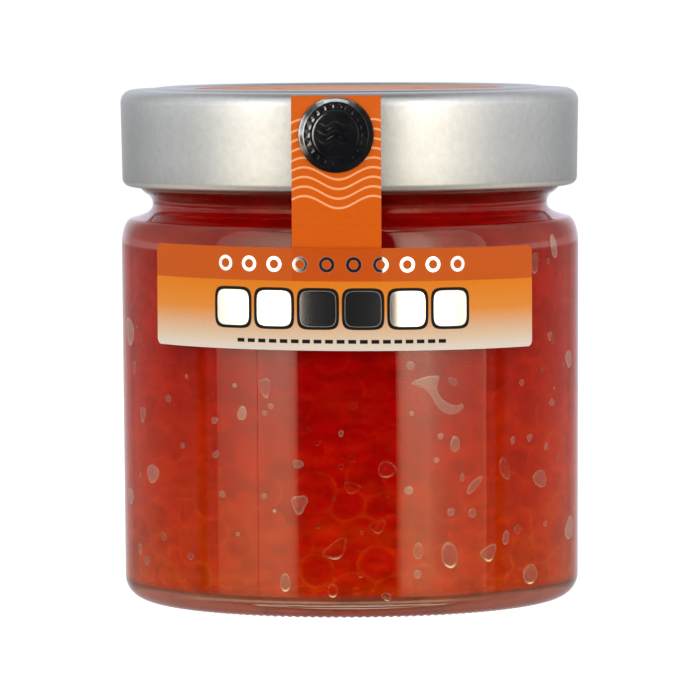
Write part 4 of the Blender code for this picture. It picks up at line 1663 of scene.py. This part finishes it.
    lamp.location = (0.0, 0.0, 1.35)
    lamp.visible_glossy = False

    # Soft fill from the sides and the back, which lights the roe and isn't mirrored.
    for name, azimuth, radiance in (("right", 90, 0.47), ("left", -90, 0.43), ("back", 180, 0.37)):
        fill = bpy.data.lights.new("fill_" + name, "AREA")
        fill.shape = "SQUARE"
        fill.size = 1.2
        fill.energy = radiance * PI * fill.size**2
        lamp = bpy.data.objects.new("fill_" + name, fill)
        scene.collection.objects.link(lamp)
        a = math.radians(azimuth)
        away = Vector((math.sin(a), -math.cos(a), 0.0))
        lamp.location = away * 1.35 + Vector((0, 0, 0.65))
        lamp.rotation_mode = "QUATERNION"
        lamp.rotation_quaternion = away.to_track_quat("Z", "Y")
        lamp.visible_glossy = False
        lamp.visible_transmission = False

    # Floor: pale and plain, with a very faint contact shadow.
    s = Shade("pale_floor")
    tone = s.noise(s.place(), 3.0, 1.0)
    glow = s.node("ShaderNodeEmission")
    glow.inputs[0].default_value = (1.0, 1.0, 1.0, 1.0)
    glow.inputs[1].default_value = 0.93
    flat = s.node("ShaderNodeBsdfDiffuse")
    s.put(flat.inputs[0], s.ramp(tone, [(0.3, 0.30), (0.7, 0.31)]))
    add = s.node("ShaderNodeAddShader")
    s.put(add.inputs[0], glow.outputs[0])
    s.put(add.inputs[1], flat.outputs[0])
    # Seen through the glass the table is dimmer, most of all on the camera's dark side.
    path = s.node("ShaderNodeLightPath")
    direct = s.math("MAXIMUM", path.outputs["Is Camera Ray"], path.outputs["Is Diffuse Ray"])
    dim = s.node("ShaderNodeEmission")
    s.put(dim.inputs[1], s.span(s.xyz(s.place())[1], -0.16, 0.30, 0.02, 0.66))
    both = s.node("ShaderNodeMixShader")
    s.put(both.inputs[0], direct)
    s.put(both.inputs[1], dim.outputs[0])
    s.put(both.inputs[2], add.outputs[0])
    mat = s.done(both.outputs[0])
    size = 1500.0
    floor = new_mesh(
        "floor",
        [(-size, -size, -0.02), (size, -size, -0.02), (size, size, -0.02), (-size, size, -0.02)],
        [(0, 1, 2, 3)],
        [mat],
    )
    floor.visible_glossy = False

    cam = bpy.data.cameras.new("camera")
    cam.sensor_width = 36.0
    cam.sensor_fit = "HORIZONTAL"
    cam.lens = 5562.0 * 36.0 / 700.0
    cam.clip_start, cam.clip_end = 0.05, 20.0
    camera = bpy.data.objects.new("camera", cam)
    scene.collection.objects.link(camera)
    camera.matrix_world = (
        Matrix.Translation(Vector((-0.0001, -0.900, 0.1012)))
        @ Matrix.Rotation(PI / 2 - 0.0681, 4, "X")
        @ Matrix.Rotation(math.radians(-0.3), 4, "Z")
    )
    scene.camera = camera


# ---------------------------------------------------------------- all together
def main():
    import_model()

    glass, wet = glass_material(), wet_glass_material()
    jar = build_jar(glass, wet)
    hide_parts("jar")

    eggs_made, core = build_roe(egg_material(), core_material())
    bubble = build_bubbles(bubble_material())
    for piece in (*eggs_made, core, bubble):
        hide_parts("roe")

    lid = build_lid(metal_material())
    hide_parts("lid")
    disc = build_disc(disc_material())
    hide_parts("lid_disc")
    label = build_label(label_material())
    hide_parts("front_label")
    strip = build_strip(strip_material())
    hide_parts("seal_strip")
    seal = build_seal(black_material())
    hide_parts("black_seal")

    for piece in (jar, *eggs_made, core, bubble, lid, disc, label, strip, seal):
        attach(piece, "root")
    studio()


main()
